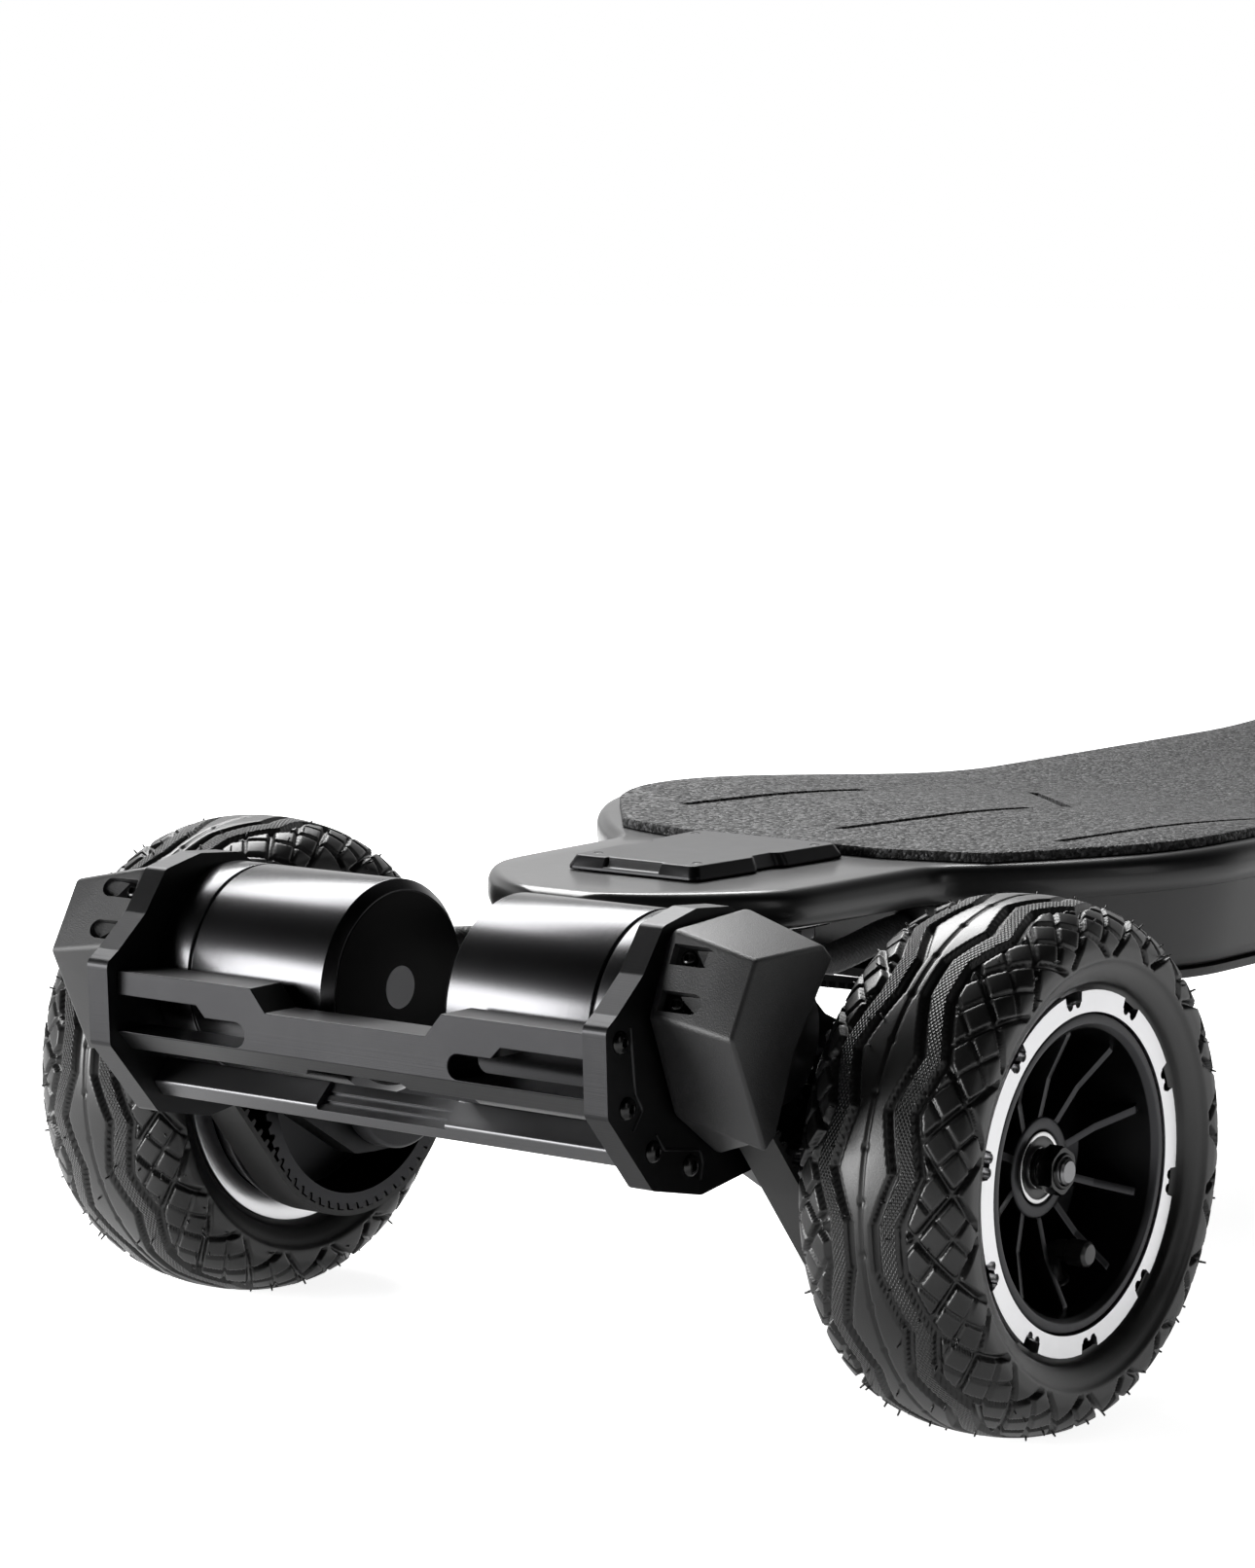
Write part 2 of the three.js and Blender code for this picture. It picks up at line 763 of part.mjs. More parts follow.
function batteryCover() {
  const loops = stations(hullFullReach - coverEndLip).map((place) => {
    const reach = reachAt(place);
    const half = deckHalfAt(reach) - hullTopInset - hullTaper - coverInset;
    const top = plankBottom - dipAt(reach) - hullDepth - seatGap;
    return mirrorLoop([
      [half, place, top],
      [half, place, top - coverThickness + coverBevel],
      [half - coverBevel, place, top - coverThickness],
    ]);
  });
  return skinAlongY(loops);
}

function batteryPack() {
  const half = bayHalfWidth - packClearance;
  const packEnd = wheelbase / 2 - packEndReach;
  const outline = rounded(rectangle(-half, half, dividerEnd + packClearance, packEnd), packCornerRadius, 2);
  return prism(outline, bayCeiling - seatGap - packHeight, bayCeiling - seatGap, "z", [], packBevel);
}

// Speed controller with cooling fins on its lower face.
function speedController() {
  const top = bayCeiling - seatGap;
  const bottom = top - controllerHeight;
  const sides = [-controllerHalfWidth, controllerHalfWidth];
  const footprint = rectangle(...sides, bayStart + controllerEndGap, dividerStart - controllerEndGap);
  const body = prism(rounded(footprint, controllerCornerRadius, 2), bottom, top, "z", [], controllerBevel);
  const gaps = Array.from({ length: finGapCount }, (_, i) => {
    const x = finPitch * (i - (finGapCount - 1) / 2);
    return box(x - finGap / 2, x + finGap / 2, bayStart, dividerStart, bottom - overrun, bottom + finDepth);
  });
  return cut(body, ...gaps);
}

function chargePort() {
  const face = controlFloorAt(portPlace);
  const body = turned(
    [
      [face + portSocketDepth, 0],
      [face + portSocketDepth, portSocketRadius],
      [face, portSocketRadius],
      [face, portRadius],
      [face + portBodyDepth, portRadius],
      [face + portBodyDepth, 0],
    ],
    shaftFacets,
  );
  return moved(body, 0, portPlace, controlHeightAt(portPlace));
}

function chargePortCap() {
  const high = controlFloorAt(portPlace) - runningGap;
  const low = high - capThickness;
  const disc = rod(capRadius, low, high, shaftFacets);
  const tab = box(low, high, -capTabHalf, capTabHalf, capRadius - capTabOverlap, capHingeRise + capTabRise);
  return moved(join(disc, tab), 0, portPlace, controlHeightAt(portPlace));
}

function powerButton() {
  const face = controlFloorAt(buttonPlace) - buttonProud;
  const body = turned(
    [
      [face, 0],
      [face, buttonRadius - buttonChamfer],
      [face + buttonChamfer, buttonRadius],
      [face + buttonLength, buttonRadius],
      [face + buttonLength, 0],
    ],
    shaftFacets,
  );
  return moved(body, 0, buttonPlace, controlHeightAt(buttonPlace));
}

// Truck pieces. The steering axis rises forward through the axle's middle, and the kingpin stands
// across it.
const rakeCos = Math.cos(steerRake);
const rakeSin = Math.sin(steerRake);
const steerDirection = new THREE.Vector3(0, rakeCos, rakeSin);
const kingpinDirection = new THREE.Vector3(0, -rakeSin, rakeCos);
const rakePoint = (along, across) => [along * rakeCos - across * rakeSin, along * rakeSin + across * rakeCos];

function alongKingpin(geometry) {
  const frame = new THREE.Matrix4().makeBasis(kingpinDirection, steerDirection, axisX.clone().negate());
  const [y, z] = rakePoint(yokeOffset, 0);
  return geometry.applyMatrix4(frame.setPosition(0, y, z));
}

function alongSteerAxis(geometry) {
  return geometry.applyMatrix4(new THREE.Matrix4().makeBasis(steerDirection, kingpinDirection, axisX));
}

function topPlate() {
  const [start, end] = [topPlateStart, topPlateEnd];
  const [narrow, wide] = [topPlateEndHalfWidth, topPlateWideHalfWidth];
  const sideAt = (y) => THREE.MathUtils.mapLinear(y, start, end, narrow, wide);
  const middle = (start + end) / 2;
  const notchStart = middle - topPlateNotchHalf;
  const notchEnd = middle + topPlateNotchHalf;
  const notchFloor = sideAt(middle) - topPlateNotchDepth;
  const notch = [
    [sideAt(notchStart), notchStart],
    [notchFloor, notchStart + topPlateNotchDepth],
    [notchFloor, notchEnd - topPlateNotchDepth],
    [sideAt(notchEnd), notchEnd],
  ];
  const tapered = [[narrow, start], [wide, end], [-wide, end], [-narrow, start]];
  const corners = rounded(tapered, topPlateCornerRadius, 2);
  const outline = [
    ...corners.slice(0, 3),
    ...notch,
    ...corners.slice(3, 9),
    ...notch.toReversed().map(([x, y]) => [-x, y]),
    ...corners.slice(9),
  ];
  const low = deckTop + seatGap;
  const high = low + topPlateThickness;
  const plate = prism(outline, low, high, "z", [], topPlateBevel);
  const scoop = prism(
    [
      [start - overrun, low + topPlateScoopRise],
      [start + topPlateScoopLength, high],
      [start + topPlateScoopLength, high + overrun],
      [start - overrun, high + overrun],
    ],
    -topPlateScoopHalf,
    topPlateScoopHalf,
    "x",
  );
  return cut(plate, scoop);
}

function baseplate() {
  const top = plankBottom - seatGap;
  const sides = [-baseplateHalfWidth, baseplateHalfWidth];
  const footprint = rounded(rectangle(...sides, baseplateStart, baseplateEnd), baseplateCornerRadius, 3);
  const plate = prism(footprint, top - baseplateThickness, top, "z");
  const bossStart = yokeRingHalfThickness + seatGap + bushingHeight + seatGap;
  const boss = alongKingpin(rod(kingpinBossRadius, bossStart, kingpinTop + kingpinBossRoot, shaftFacets));
  const lug = prism(
    [
      rakePoint(lugStart, -lugHalfHeight),
      rakePoint(lugEnd, -lugHalfHeight),
      [lugEnd, top - baseplateThickness / 2],
      [rakePoint(lugStart, lugHalfHeight)[0], top - baseplateThickness / 2],
      rakePoint(lugStart, lugHalfHeight),
    ],
    -lugHalfWidth,
    lugHalfWidth,
    "x",
  );
  const above = top + kingpinTop;
  return cut(
    join(plate, boss, lug),
    box(...sides, baseplateStart - kingpinTop, baseplateEnd + kingpinTop, top, above),
    alongKingpin(rod(kingpinRadius + seatGap, 0, kingpinTop + seatGap, shaftFacets)),
    alongSteerAxis(rod(pivotRadius + seatGap, lugStart - overrun, pivotReach + seatGap, shaftFacets)),
  );
}

function kingpin() {
  const washerTop = -yokeRingHalfThickness - 2 * seatGap - bushingHeight;
  const nutTop = washerTop - cupWasherHeight;
  const pin = rod(kingpinRadius, nutTop - kingpinNutHeight - kingpinTip, kingpinTop, shaftFacets);
  const washer = rod(bushingRadius + cupWasherLip, nutTop, washerTop, shaftFacets);
  const nut = rod(kingpinNutRadius, nutTop - kingpinNutHeight, nutTop + bite, 6);
  return alongKingpin(join(pin, washer, nut));
}

function bushing(side) {
  const near = yokeRingHalfThickness + seatGap;
  const far = near + bushingHeight;
  const low = side > 0 ? near : -far;
  return alongKingpin(tube(bushingRadius, kingpinRadius + seatGap, low, low + bushingHeight, shaftFacets));
}

function hanger(forMotors) {
  const tubeHalf = forMotors ? spindleShoulder : spindleShoulder + frontTubeExtra;
  const spindleEnd = halfTrack + hubInnerFace - seatGap;
  const side = [[tubeHalf, hangerTubeRadius], [tubeHalf, spindleRadius], [spindleEnd, spindleRadius]];
  const flangeInner = barHalfLength - hangerFlangeThickness;
  const flange = [
    [flangeInner, hangerTubeRadius],
    [flangeInner, hangerFlangeRadius - hangerBevel],
    [flangeInner + hangerBevel, hangerFlangeRadius],
    [barHalfLength, hangerFlangeRadius],
    [barHalfLength, hangerTubeRadius],
  ];
  const outer = forMotors ? [...flange, ...side] : side;
  const whole = [...outer.toReversed().map(([x, radius]) => [-x, radius]), ...outer];
  const body = turned([[-spindleEnd, 0], ...whole, [spindleEnd, 0]], wheelFacets);
  const ring = alongKingpin(rod(yokeRingRadius, -yokeRingHalfThickness, yokeRingHalfThickness, barrelFacets));
  const armFrame = new THREE.Matrix4().makeBasis(axisX, steerDirection, kingpinDirection);
  const arm = prism(
    [
      [-armRootHalf, armRootReach],
      [armRootHalf, armRootReach],
      [armTipHalf, yokeOffset],
      [-armTipHalf, yokeOffset],
    ],
    -yokeRingHalfThickness,
    yokeRingHalfThickness,
    "z",
  ).applyMatrix4(armFrame);
  const pivotStart = yokeOffset + yokeRingRadius - pivotRoot;
  const pivot = alongSteerAxis(rod(pivotRadius, pivotStart, pivotReach, shaftFacets));
  return cut(
    join(body, arm, ring, pivot),
    alongKingpin(rod(kingpinHoleRadius, -yokeRingRadius, yokeRingRadius, shaftFacets)),
    rod(axleRadius + seatGap, -spindleEnd - overrun, spindleEnd + overrun, shaftFacets),
  );
}

function axle() {
  const end = halfTrack + axleTip;
  const half = [[end - axleChamfer, axleRadius], [end, axleRadius - axleChamfer], [end, 0]];
  return turned([...half.toReversed().map(([x, radius]) => [-x, radius]), ...half], shaftFacets);
}

// Nut and spacer at the right-hand end of the axle.
function axleNut() {
  const start = halfTrack + hubOuterFace + seatGap;
  const bore = axleRadius + seatGap;
  const hexRadius = nutAcrossFlats / Math.sqrt(3);
  const nutStart = start + spacerHeight;
  const end = nutStart + nutHeight;
  const spacer = rod(spacerRadius, start, nutStart + bite, shaftFacets);
  const hex = turned(
    [
      [nutStart, 0],
      [nutStart, hexRadius],
      [end - nutChamfer, hexRadius],
      [end, hexRadius - nutChamfer],
      [end, 0],
    ],
    6,
  );
  return cut(join(hex, spacer), rod(bore, start - overrun, end + overrun, smallFacets));
}

// Right-hand motor plate with its lobe over the motor, clamp bore and window. The outline and the
// window are in shares of the plate's reach behind the axle.
function motorPlate() {
  const rear = scaled(plateRearReach, [
    [-1, 0.404],
    [-0.9923, 0.2089],
    [-0.8333, 0.0269],
    [-0.6567, -0.0115],
    [-0.4608, 0.0154],
    [-0.3072, -0.0768],
    [-0.1229, -0.192],
  ]);
  const lobe = scaled(plateRearReach, [
    [-0.0614, 0.2765],
    [-0.1843, 0.3303],
    [-0.3456, 0.4762],
    [-0.4455, 0.5684],
    [-0.5522, 0.6198],
    [-0.6759, 0.6298],
    [-0.7957, 0.6045],
    [-0.8679, 0.5069],
    [-0.9601, 0.4301],
  ]);
  const window = scaled(plateRearReach, [
    [-0.3303, 0.2381],
    [-0.2381, 0.2765],
    [-0.1421, 0.2189],
    [-0.2381, 0.1728],
  ]);
  const clampSteps = 7;
  const clamp = Array.from({ length: clampSteps + 1 }, (_, i) => {
    const angle = THREE.MathUtils.degToRad(THREE.MathUtils.lerp(-105, 86, i / clampSteps));
    return [plateClampRadius * Math.cos(angle), plateClampRadius * Math.sin(angle)];
  });
  const smooth = rounded([...rear, ...lobe], plateCornerRadius, 1);
  const outline = [...smooth.slice(0, 2 * rear.length), ...clamp, ...smooth.slice(2 * rear.length)];
  const holes = [
    circle(0, 0, hangerTubeRadius + seatGap, barrelFacets),
    circle(motorY, motorZ, motorShaftHole, shaftFacets),
    rounded(window, plateWindowRadius, 1),
  ];
  return prism(outline, plateInner, plateOuter, "x", holes, plateBevel);
}

// Place of the motor's cable outlet, and of the can's front there.
const cableMotorSpread = barHalfLength - cablePlateGap;
const motorFront = motorY + Math.sqrt(motorRadius ** 2 - (cableHeight - motorZ) ** 2);

// Right-hand motor can, a cup that opens towards its plate.
function motorCan() {
  const end = barHalfLength;
  const groove = end - motorGrooveFromPlate;
  const inner = motorRadius - motorWall;
  const body = turned(
    [
      [motorInnerEnd, 0],
      [motorInnerEnd, motorRadius - motorBevel],
      [motorInnerEnd + motorBevel, motorRadius],
      [groove - motorGrooveWidth, motorRadius],
      [groove - motorGrooveWidth, motorRadius - motorGrooveDepth],
      [groove, motorRadius - motorGrooveDepth],
      [groove, motorRadius],
      [end - motorRimBevel, motorRadius],
      [end, motorRadius - motorRimBevel],
      [end, inner],
      [motorInnerEnd + motorEndWall, inner],
      [motorInnerEnd + motorEndWall, 0],
    ],
    canFacets,
  );
  const placed = moved(body, 0, motorY, motorZ);
  const outline = circle(cableMotorSpread, cableHeight, cableBossRadius, shaftFacets);
  const boss = prism(outline, motorFront - motorWall / 2, motorFront + cableBossLength, "y");
  return join(placed, boss);
}

function motorRotor() {
  const start = motorInnerEnd + rotorSetback;
  const end = barHalfLength - rotorPlateGap;
  const shaftEnd = beltOuterEdge + runningGap;
  const body = turned(
    [
      [start - rotorStub, 0],
      [start - rotorStub, motorShaftRadius],
      [start, motorShaftRadius],
      [start, rotorRadius],
      [end, rotorRadius],
      [end, motorShaftRadius],
      [shaftEnd, motorShaftRadius],
      [shaftEnd, 0],
    ],
    shaftFacets,
  );
  return moved(body, 0, motorY, motorZ);
}

// Outline of a belt pulley, with one gap for each tooth of the belt.
function toothed(teeth, tipRadius) {
  const step = (2 * Math.PI) / teeth;
  const tipHalf = (beltPitch * toothTipShare) / tipRadius;
  return Array.from({ length: teeth }, (_, i) => {
    const middle = i * step;
    const corner = (radius, angle) => [radius * Math.cos(angle), radius * Math.sin(angle)];
    return [
      corner(tipRadius, middle - tipHalf),
      corner(tipRadius, middle + tipHalf),
      corner(tipRadius - toothDepth, middle + step / 2),
    ];
  }).flat();
}

function motorPulley() {
  const flange = motorPulleyFlangeWidth;
  const bore = motorShaftRadius + seatGap;
  const teethStart = beltInnerEdge - runningGap;
  const teethEnd = beltOuterEdge + runningGap;
  const teeth = prism(toothed(motorPulleyTeeth, motorTipRadius), teethStart - bite, teethEnd + bite, "x");
  const hub = rod(motorPulleyHubRadius, plateOuter + motorPulleyHubGap, teethEnd, shaftFacets);
  const flanges = [teethStart - flange, teethEnd].map((start) =>
    rod(motorPulleyFlangeRadius, start, start + flange, barrelFacets),
  );
  const whole = join(teeth, hub, ...flanges);
  return moved(cut(whole, rod(bore, plateOuter, teethEnd + overrun, smallFacets)), 0, motorY, motorZ);
}

// Smooth closed band round both pulleys.
function driveBelt() {
  const lean = Math.acos((motorTipRadius - wheelTipRadius) / beltCentreDistance);
  const towardsWheel = Math.atan2(-motorZ, -motorY);
  const loop = (extra) => {
    const motorReach = motorTipRadius + extra;
    const wheelReach = wheelTipRadius + extra;
    const point = (y, z, radius, angle) => [y + radius * Math.cos(angle), z + radius * Math.sin(angle)];
    const motorSteps = 6;
    const wheelSteps = 20;
    const motorArc = Array.from({ length: motorSteps + 1 }, (_, i) => {
      const angle = towardsWheel + lean + ((2 * Math.PI - 2 * lean) * i) / motorSteps;
      return point(motorY, motorZ, motorReach, angle);
    });
    const wheelArc = Array.from({ length: wheelSteps + 1 }, (_, i) => {
      const angle = towardsWheel - lean + (2 * lean * i) / wheelSteps;
      return point(0, 0, wheelReach, angle);
    });
    return [...motorArc, ...wheelArc];
  };
  return prism(loop(runningGap + beltBack), beltInnerEdge, beltOuterEdge, "x", [loop(runningGap)]);
}

// Right-hand belt cover. It opens towards the plate and towards the wheel. Its outlines are in shares
// of the plate's reach behind the axle.
function beltCover() {
  const plateSide = [
    [-0.5138, 0.6144],
    [-0.7796, 0.5991],
    [-0.8648, 0.4186],
    [-0.7704, 0.182],
    [-0.6167, 0.0745],
    [-0.553, 0.1843],
    [-0.4916, 0.3379],
    [-0.4608, 0.4916],
  ];
  const outerSide = [
    [-0.5353, 0.553],
    [-0.788, 0.553],
    [-0.8786, 0.3894],
    [-0.7535, 0.1275],
    [-0.7104, 0.1636],
    [-0.6429, 0.3364],
    [-0.5346, 0.4823],
    [-0.4992, 0.52],
  ];
  const plateHollow = [
    [-0.3072, 0.606],
    [-0.7665, 0.5791],
    [-0.8433, 0.4178],
    [-0.755, 0.1966],
    [-0.619, 0.1014],
    [-0.3072, 0.1014],
  ];
  const outerHollow = [
    [-0.3072, 0.533],
    [-0.7765, 0.533],
    [-0.8564, 0.3894],
    [-0.7465, 0.1567],
    [-0.7158, 0.1813],
    [-0.3072, 0.1813],
  ];
  const start = plateOuter + seatGap;
  const at = (x, shares) => scaled(plateRearReach, shares).toReversed().map(([y, z]) => [x, y, z]);
  const shell = skinAlongX([at(coverOuter, outerSide), at(start, plateSide)]);
  const hollow = skinAlongX([at(coverOuter - beltCoverWall, outerHollow), at(start - bite, plateHollow)]);
  const [faceTop, faceBottom] = scaled(plateRearReach, [
    [-0.7826, 0.5837],
    [-0.8694, 0.4086],
  ]).map(([y, z]) => new THREE.Vector2(y, z));
  const up = faceTop.clone().sub(faceBottom);
  const out = new THREE.Vector2(-up.y, up.x).normalize();
  const pocket = (low, high) => {
    const corner = (share, lift) =>
      faceBottom.clone().addScaledVector(up, share).addScaledVector(out, lift).toArray();
    const [floor, outside] = [-coverPocketDepth, 2 * overrun];
    const outline = [corner(low, floor), corner(low, outside), corner(high, outside), corner(high, floor)];
    return prism(outline, start + coverPocketStart, start + coverPocketEnd, "x");
  };
  return cut(shell, hollow, pocket(0.66, 0.92), pocket(0.12, 0.38));
}

function guardBar() {
  const right = [
    [guardUnderNotchHalf, guardBottom + guardUnderNotchDepth],
    [guardUnderNotchHalf + guardUnderNotchDepth, guardBottom],
    [barHalfLength, guardBottom],
    [barHalfLength, guardTop],
    [guardStepHalf, guardTop],
    [guardNotchHalf, guardNotchTop],
  ];
  const outline = [...right, ...right.toReversed().map(([x, z]) => [-x, z])];
  const bar = prism(outline, -guardRear, -guardRear + guardDepth, "y", [], guardBevel);
  const middle = (guardSlotLowTop + guardSlotBottom) / 2;
  const end = (guardSlotLowTop - guardSlotBottom) / 2;
  const roundEnd = Array.from({ length: 7 }, (_, i) => {
    const angle = Math.PI / 2 + (Math.PI * i) / 6;
    return [guardSlotInner + end + end * Math.cos(angle), middle + end * Math.sin(angle)];
  });
  const slotOutline = [
    ...roundEnd,
    [barHalfLength + overrun, guardSlotBottom],
    [barHalfLength + overrun, guardSlotTop],
    [guardSlotStepEnd, guardSlotTop],
    [guardSlotStepStart, guardSlotLowTop],
  ];
  const slot = prism(slotOutline, -guardRear - overrun, -guardRear + guardDepth + overrun, "y");
  const chamfer = prism(
    [
      [-guardRear - overrun, guardBottom + guardChamfer + overrun],
      [-guardRear - overrun, guardBottom - overrun],
      [-guardRear + guardChamfer + overrun, guardBottom - overrun],
    ],
    -barHalfLength - overrun,
    barHalfLength + overrun,
    "x",
  );
  return cut(bar, slot, mirrored(slot), chamfer);
}

function guardBrace() {
  const corner = (back, up) => [
    -THREE.MathUtils.lerp(braceFront, braceRear, back),
    THREE.MathUtils.lerp(braceBottom, braceTop, up),
  ];
  const ridge = corner(0.5625, 1);
  const nose = corner(1, 0.426);
  const section = [ridge, nose, corner(0.75, 0), corner(0.219, 0), corner(0, 0.304), corner(0, 0.696)];
  const body = prism(rounded(section, braceCornerRadius, 1), -barHalfLength, barHalfLength, "x");
  const along = new THREE.Vector2(...nose).sub(new THREE.Vector2(...ridge));
  const inward = new THREE.Vector2(-along.y, along.x).normalize();
  const recess = (low, high, depth) => {
    const point = (share, lift) =>
      new THREE.Vector2(...ridge).addScaledVector(along, share).addScaledVector(inward, lift).toArray();
    const outside = -3 * overrun;
    const outline = [point(low, depth), point(low, outside), point(high, outside), point(high, depth)];
    return prism(outline, -bracePanelHalf, bracePanelHalf, "x");
  };
  const groove = (low) => recess(low, low + 0.14, bracePanelDepth + braceGrooveDepth);
  return cut(body, recess(-0.3, 1.2, bracePanelDepth), groove(0.28), groove(0.62));
}

// Solid air tyre with its valve, which passes through the rim and bends outboard.
function tyre() {
  const crown = tyreRadius - tyreWidestRadius;
  const shoulder = tyreShoulderAngles.map((degrees) => {
    const angle = THREE.MathUtils.degToRad(degrees);
    const power = 2 / tyreSquareness;
    return [tyreHalfWidth * Math.cos(angle) ** power, tyreWidestRadius + crown * Math.sin(angle) ** power];
  });
  const beadTop = rimFlangeRadius + tyreBeadLift;
  const wall = [
    [rimHalfWidth - seatGap, rimSeatRadius + seatGap],
    [rimHalfWidth - seatGap, beadTop],
    [rimHalfWidth + rimFlangeThickness + tyreBeadOverlap, beadTop],
    [tyreHalfWidth - tyreBeadDrawIn, tyreBeadRadius],
  ];
  const right = [...wall, ...shoulder, [tyreFlatHalf, tyreRadius]];
  const body = turned([...right.map(([x, r]) => [-x, r]), ...right.toReversed()], wheelFacets);
  const radial = new THREE.Vector3(0, Math.cos(valveAngle), Math.sin(valveAngle));
  const at = (x, radius) => radial.clone().multiplyScalar(radius).setX(x);
  const stem = new THREE.CatmullRomCurve3([
    at(valveX, rimSeatRadius + overrun),
    at(valveX, rimDishRadius + bite),
    at(valveX + 0.15 * valveBend, valveBendRadius + valveBend),
    at(valveX + 1.1 * valveBend, valveBendRadius),
    at(valveTip - valveCapLength + bite, valveBendRadius),
  ]);
  const cap = new THREE.CatmullRomCurve3([
    at(valveTip - valveCapLength, valveBendRadius),
    at(valveTip, valveBendRadius),
  ]);
  return join(body, cord(stem, valveRadius, 6, smallFacets), cord(cap, valveCapRadius, 1, smallFacets));
}

function rim() {
  const flange = rimHalfWidth + rimFlangeThickness;
  const body = turned(
    [
      [-flange, rimInboardBore],
      [-flange, rimFlangeRadius],
      [-rimHalfWidth, rimFlangeRadius],
      [-rimHalfWidth, rimSeatRadius],
      [rimHalfWidth, rimSeatRadius],
      [rimHalfWidth, ringInnerRadius - seatGap],
      [rimHalfWidth + rimRingSeat, ringInnerRadius - seatGap],
      [rimHalfWidth + rimRingSeat, rimOutboardBore],
      [rimDishEdge, rimDishRadius],
      [rimWebFace, rimWebRadius],
      [rimWebFace, hubRadius],
      [hubOuterFace, hubRadius],
      [hubOuterFace, bearingRadius],
      [hubInnerFace, bearingRadius],
      [hubInnerFace, hubRadius],
      [rimWebBack, hubRadius],
      [rimWebBack, rimBackRadius],
      [rimBackEdge, rimBackEdgeRadius],
    ],
    wheelFacets,
  );
  const ribs = Array.from({ length: ribCount }, (_, i) => {
    const shape = [
      [ribBack, hubRadius - ribBite],
      [ribHubFace, hubRadius - ribBite],
      [ribMiddleFace, ribMiddleRadius],
      [ribTipFace, ribTipRadius],
      [ribBack, ribBackRadius],
    ];
    const flat = prism(shape, -ribThickness / 2, ribThickness / 2, "z");
    const turn = new THREE.Matrix4().makeRotationX(THREE.MathUtils.degToRad(ribStart + (360 / ribCount) * i));
    return flat.applyMatrix4(turn);
  });
  const valveSeat = rod(valveHole, rimWebRadius, rimSeatRadius + overrun, smallFacets);
  valveSeat.applyMatrix4(new THREE.Matrix4().makeRotationZ(Math.PI / 2));
  valveSeat.applyMatrix4(new THREE.Matrix4().makeRotationX(valveAngle));
  return cut(join(body, ...ribs), moved(valveSeat, valveX, 0, 0));
}

// Machined ring on the outboard side of the rim, with notches in its outer edge.
function rimRing() {
  const notchHalf = THREE.MathUtils.radToDeg(ringNotchLength / 2 / rimFlangeRadius);
  const outer = rimFlangeRadius - bite;
  const outline = Array.from({ length: ringNotchCount }, (_, i) => {
    const middle = ringNotchStart + (360 / ringNotchCount) * i;
    const sector = 360 / ringNotchCount - 2 * notchHalf;
    const corner = (radius, degrees) => {
      const angle = THREE.MathUtils.degToRad(degrees);
      return [radius * Math.cos(angle), radius * Math.sin(angle)];
    };
    return [
      corner(outer, middle - notchHalf),
      corner(outer - ringNotchDepth, middle - notchHalf * ringNotchFloorShare),
      corner(outer - ringNotchDepth, middle + notchHalf * ringNotchFloorShare),
      corner(outer, middle + notchHalf),
      corner(outer, middle + notchHalf + sector / 2),
    ];
  }).flat();
  const start = rimHalfWidth + seatGap;
  const bore = circle(0, 0, ringInnerRadius + ringFit, wheelFacets);
  return prism(outline, start, start + ringThickness, "x", [bore]);
}

// Two bearings on one spacer.
function bearingSet() {
  const outer = bearingRadius - seatGap;
  const bore = axleRadius + seatGap;
  const profile = [
    [hubInnerFace, bore],
    [hubInnerFace, outer],
    [hubInnerFace + bearingWidth, outer],
    [hubInnerFace + bearingWidth, bearingSpacerRadius],
    [hubOuterFace - bearingWidth, bearingSpacerRadius],
    [hubOuterFace - bearingWidth, outer],
    [hubOuterFace, outer],
    [hubOuterFace, bore],
  ];
  return turned(profile, shaftFacets);
}

// Wheel pulley, in the wheel's own frame, so it lies inboard of the rim.
function wheelPulley() {
  const outward = (x) => x - halfTrack;
  const teethStart = outward(beltInnerEdge - runningGap);
  const teethEnd = outward(beltOuterEdge + runningGap);
  const rimFace = -rimHalfWidth - rimFlangeThickness - seatGap;
  const band = prism(toothed(wheelPulleyTeeth, wheelTipRadius), teethStart, teethEnd + bite, "x", [
    circle(0, 0, wheelPulleyBore, wheelFacets),
  ]);
  const back = turned(
    [
      [teethEnd, wheelPulleyBore],
      [teethEnd, wheelPulleyFlangeRadius],
      [teethEnd + wheelPulleyFlangeWidth, wheelPulleyFlangeRadius],
      [rimFace, wheelPulleyBackRadius],
      [rimFace, wheelPulleyHubBore],
      [rimFace - wheelPulleyWeb, wheelPulleyHubBore],
      [rimFace - wheelPulleyWeb, wheelPulleyBore],
    ],
    wheelFacets,
  );
  return join(band, back);
}

function motorCable() {
  const start = motorFront + cableBossLength + seatGap;
  const end = hullEndReach + cableEndSetback + cableSocketDepth;
  const curve = new THREE.CatmullRomCurve3([
    new THREE.Vector3(cableMotorSpread, start, cableHeight),
    new THREE.Vector3(cableMotorSpread, start + cableStraight, cableHeight),
    new THREE.Vector3(60, 4, cableHeight - cableSag),
    new THREE.Vector3(52, 54, cableHeight - cableSag),
    new THREE.Vector3(cableHullSpread, end - cableStraight, cableHeight),
    new THREE.Vector3(cableHullSpread, end, cableHeight),
  ]);
  return cord(curve, cableRadius, 10, smallFacets);
}

// Materials
function material(name, color, metalness, roughness) {
  return new THREE.MeshStandardMaterial({ name, color, metalness, roughness });
}

